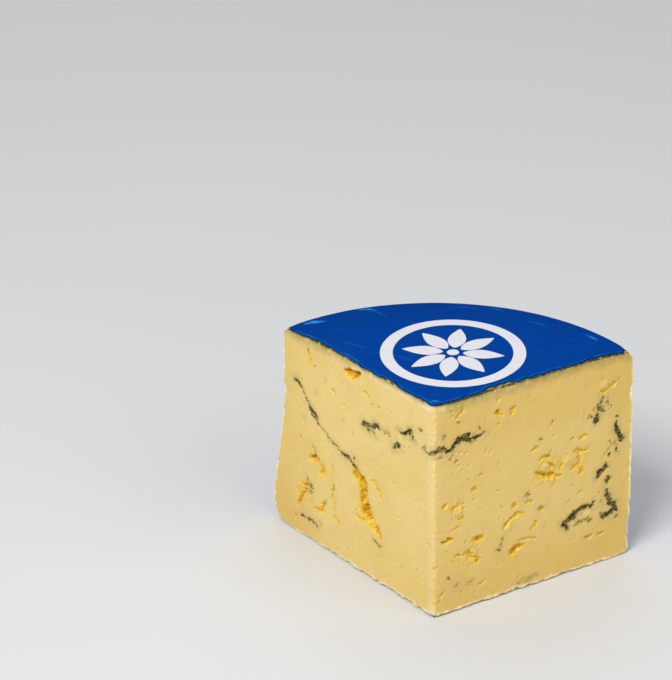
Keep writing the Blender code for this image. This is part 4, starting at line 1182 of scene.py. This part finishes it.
# The print on the top: a plain ring with an eight-petalled rosette

def print_height(places):
    """Height of the foil's top under the print."""
    reach = np.hypot(places[:, 0], places[:, 1])
    fall = np.clip((reach - TOP_FLAT) / (RADIUS - SHOULDER - TOP_FLAT), 0.0, 1.0)
    flat = np.column_stack((places, np.zeros(len(places))))
    return HEIGHT - TOP_DROP * fall ** 2 - top_sink(flat)


def circle(radius, count):
    turns = np.linspace(0, 2 * math.pi, count, endpoint=False)
    return radius * np.column_stack((np.cos(turns), np.sin(turns)))


def band(inner, outer):
    """Places and faces between two closed outlines of as many places."""
    count = len(inner)
    faces = [(k, count + k, count + (k + 1) % count, (k + 1) % count) for k in range(count)]
    return np.vstack((inner, outer)), faces


def petal(turn):
    """One petal: a pointed oval along a spoke, as a grid of places."""
    along = np.linspace(0.0, 1.0, PETAL_STEPS)
    across = np.linspace(-1.0, 1.0, PETAL_ROWS)
    width = PETAL_HALF_WIDTH * np.sin(np.pi * along ** 0.8) ** 0.9
    y = width[:, None] * across[None, :]
    x = np.broadcast_to((PETAL_START + (PETAL_END - PETAL_START) * along)[:, None], y.shape)
    places = np.stack((x * math.cos(turn) - y * math.sin(turn), x * math.sin(turn) + y * math.cos(turn)), -1)
    grid = np.arange(y.size).reshape(y.shape)
    return places.reshape(-1, 2), quads(grid.T).tolist()


def make_print(material):
    """The ring, its petals and its button as one sheet just above the foil."""
    radii = np.linspace(RING_INNER, RING_OUTER, 6)
    shapes = [band(circle(low, RING_STEPS), circle(high, RING_STEPS)) for low, high in zip(radii, radii[1:])]
    shapes += [petal(2 * math.pi * index / PETALS) for index in range(PETALS)]
    shapes.append(band(circle(0.02, BUTTON_STEPS), circle(BUTTON_RADIUS, BUTTON_STEPS)))
    places = []
    faces = []
    count = 0
    for shape_places, shape_faces in shapes:
        places.append(shape_places + np.array(PRINT_CENTRE))
        faces += [tuple(corner + count for corner in face) for face in shape_faces]
        count += len(shape_places)
    flat = np.vstack(places)
    piece = put_down("top_print", np.column_stack((flat, print_height(flat) + PRINT_LIFT)), faces, material)
    piece.data.shade_smooth()
    return piece


# Floor, light and camera

def make_camera():
    """The photograph's view, fitted to the wedge's own edges."""
    forward = Vector((0.0, math.cos(CAMERA_PITCH), -math.sin(CAMERA_PITCH)))
    right = Vector((1.0, 0.0, 0.0))
    up = right.cross(forward)
    place = forward * -CAMERA_DISTANCE + right * CAMERA_RIGHT + up * CAMERA_UP
    tilted_right = right * math.cos(CAMERA_ROLL) + up * math.sin(CAMERA_ROLL)
    tilted_up = up * math.cos(CAMERA_ROLL) - right * math.sin(CAMERA_ROLL)
    pose = Matrix.Identity(4)
    for row in range(3):
        pose[row][0] = tilted_right[row]
        pose[row][1] = tilted_up[row]
        pose[row][2] = -forward[row]
        pose[row][3] = place[row] * MM
    lens = bpy.data.cameras.new("camera")
    lens.sensor_width = SENSOR
    lens.lens = FOCAL_PIXELS / FRAME_HEIGHT * SENSOR
    lens.clip_start = 0.01
    camera = bpy.data.objects.new("camera", lens)
    camera.matrix_world = Matrix.Translation(Vector(AXIS)) @ Matrix.Rotation(CAMERA_TURN, 4, 'Z') @ pose
    bpy.context.scene.collection.objects.link(camera)
    bpy.context.scene.camera = camera


def make_floor():
    material, tree, shader, coords = new_material("floor_paint")
    pale = mixed(tree, grain(tree, coords, 300.0, 2.0), FLOOR_PALE, FLOOR_PALER)
    tree.links.new(pale, shader.inputs['Base Color'])
    shader.inputs['Roughness'].default_value = 0.8
    data = bpy.data.meshes.new("floor")
    corners = [(-FLOOR_REACH, -FLOOR_REACH, 0), (FLOOR_REACH, -FLOOR_REACH, 0),
               (FLOOR_REACH, FLOOR_REACH, 0), (-FLOOR_REACH, FLOOR_REACH, 0)]
    data.from_pydata(corners, [], [(0, 1, 2, 3)])
    data.materials.append(material)
    floor = bpy.data.objects.new("floor", data)
    bpy.context.scene.collection.objects.link(floor)


def add_softbox(name, azimuth, elevation, distance, size, power):
    """A square area light that faces the wedge; azimuth 0 is in front of its point."""
    turn = math.radians(azimuth)
    rise = math.radians(elevation)
    away = Vector((math.sin(turn) * math.cos(rise), -math.cos(turn) * math.cos(rise), math.sin(rise)))
    light = bpy.data.lights.new(name, 'AREA')
    light.shape = 'SQUARE'
    light.size = size
    light.energy = power
    lamp = bpy.data.objects.new(name, light)
    lamp.location = Vector((0.0, 0.0, 0.05)) + away * distance
    lamp.rotation_euler = away.to_track_quat('Z', 'Y').to_euler()
    bpy.context.scene.collection.objects.link(lamp)


def make_light():
    world = bpy.data.worlds.new("studio")
    bpy.context.scene.world = world
    world.use_nodes = True
    world.node_tree.nodes['Background'].inputs['Color'].default_value = WORLD_COLOUR
    world.node_tree.nodes['Background'].inputs['Strength'].default_value = WORLD_STRENGTH
    for softbox in SOFTBOXES:
        add_softbox(*softbox)


def dress():
    """Every piece of the wedge, riding on its one body."""
    cheese = make_cheese(cheese_material())
    foil = make_foil(foil_material(), bare_foil_material())
    ornament = make_print(print_material())
    for piece, node, finish in ((cheese, "cheese_paste", "cheese"), (foil, "foil_wrap", "foil")):
        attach(piece, "root")
        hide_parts(node)
    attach(ornament, "root")


noise.seed_set(CRUMB_SEED)
make_camera()
make_floor()
make_light()
dress()
bpy.context.scene.view_settings.view_transform = 'Standard'
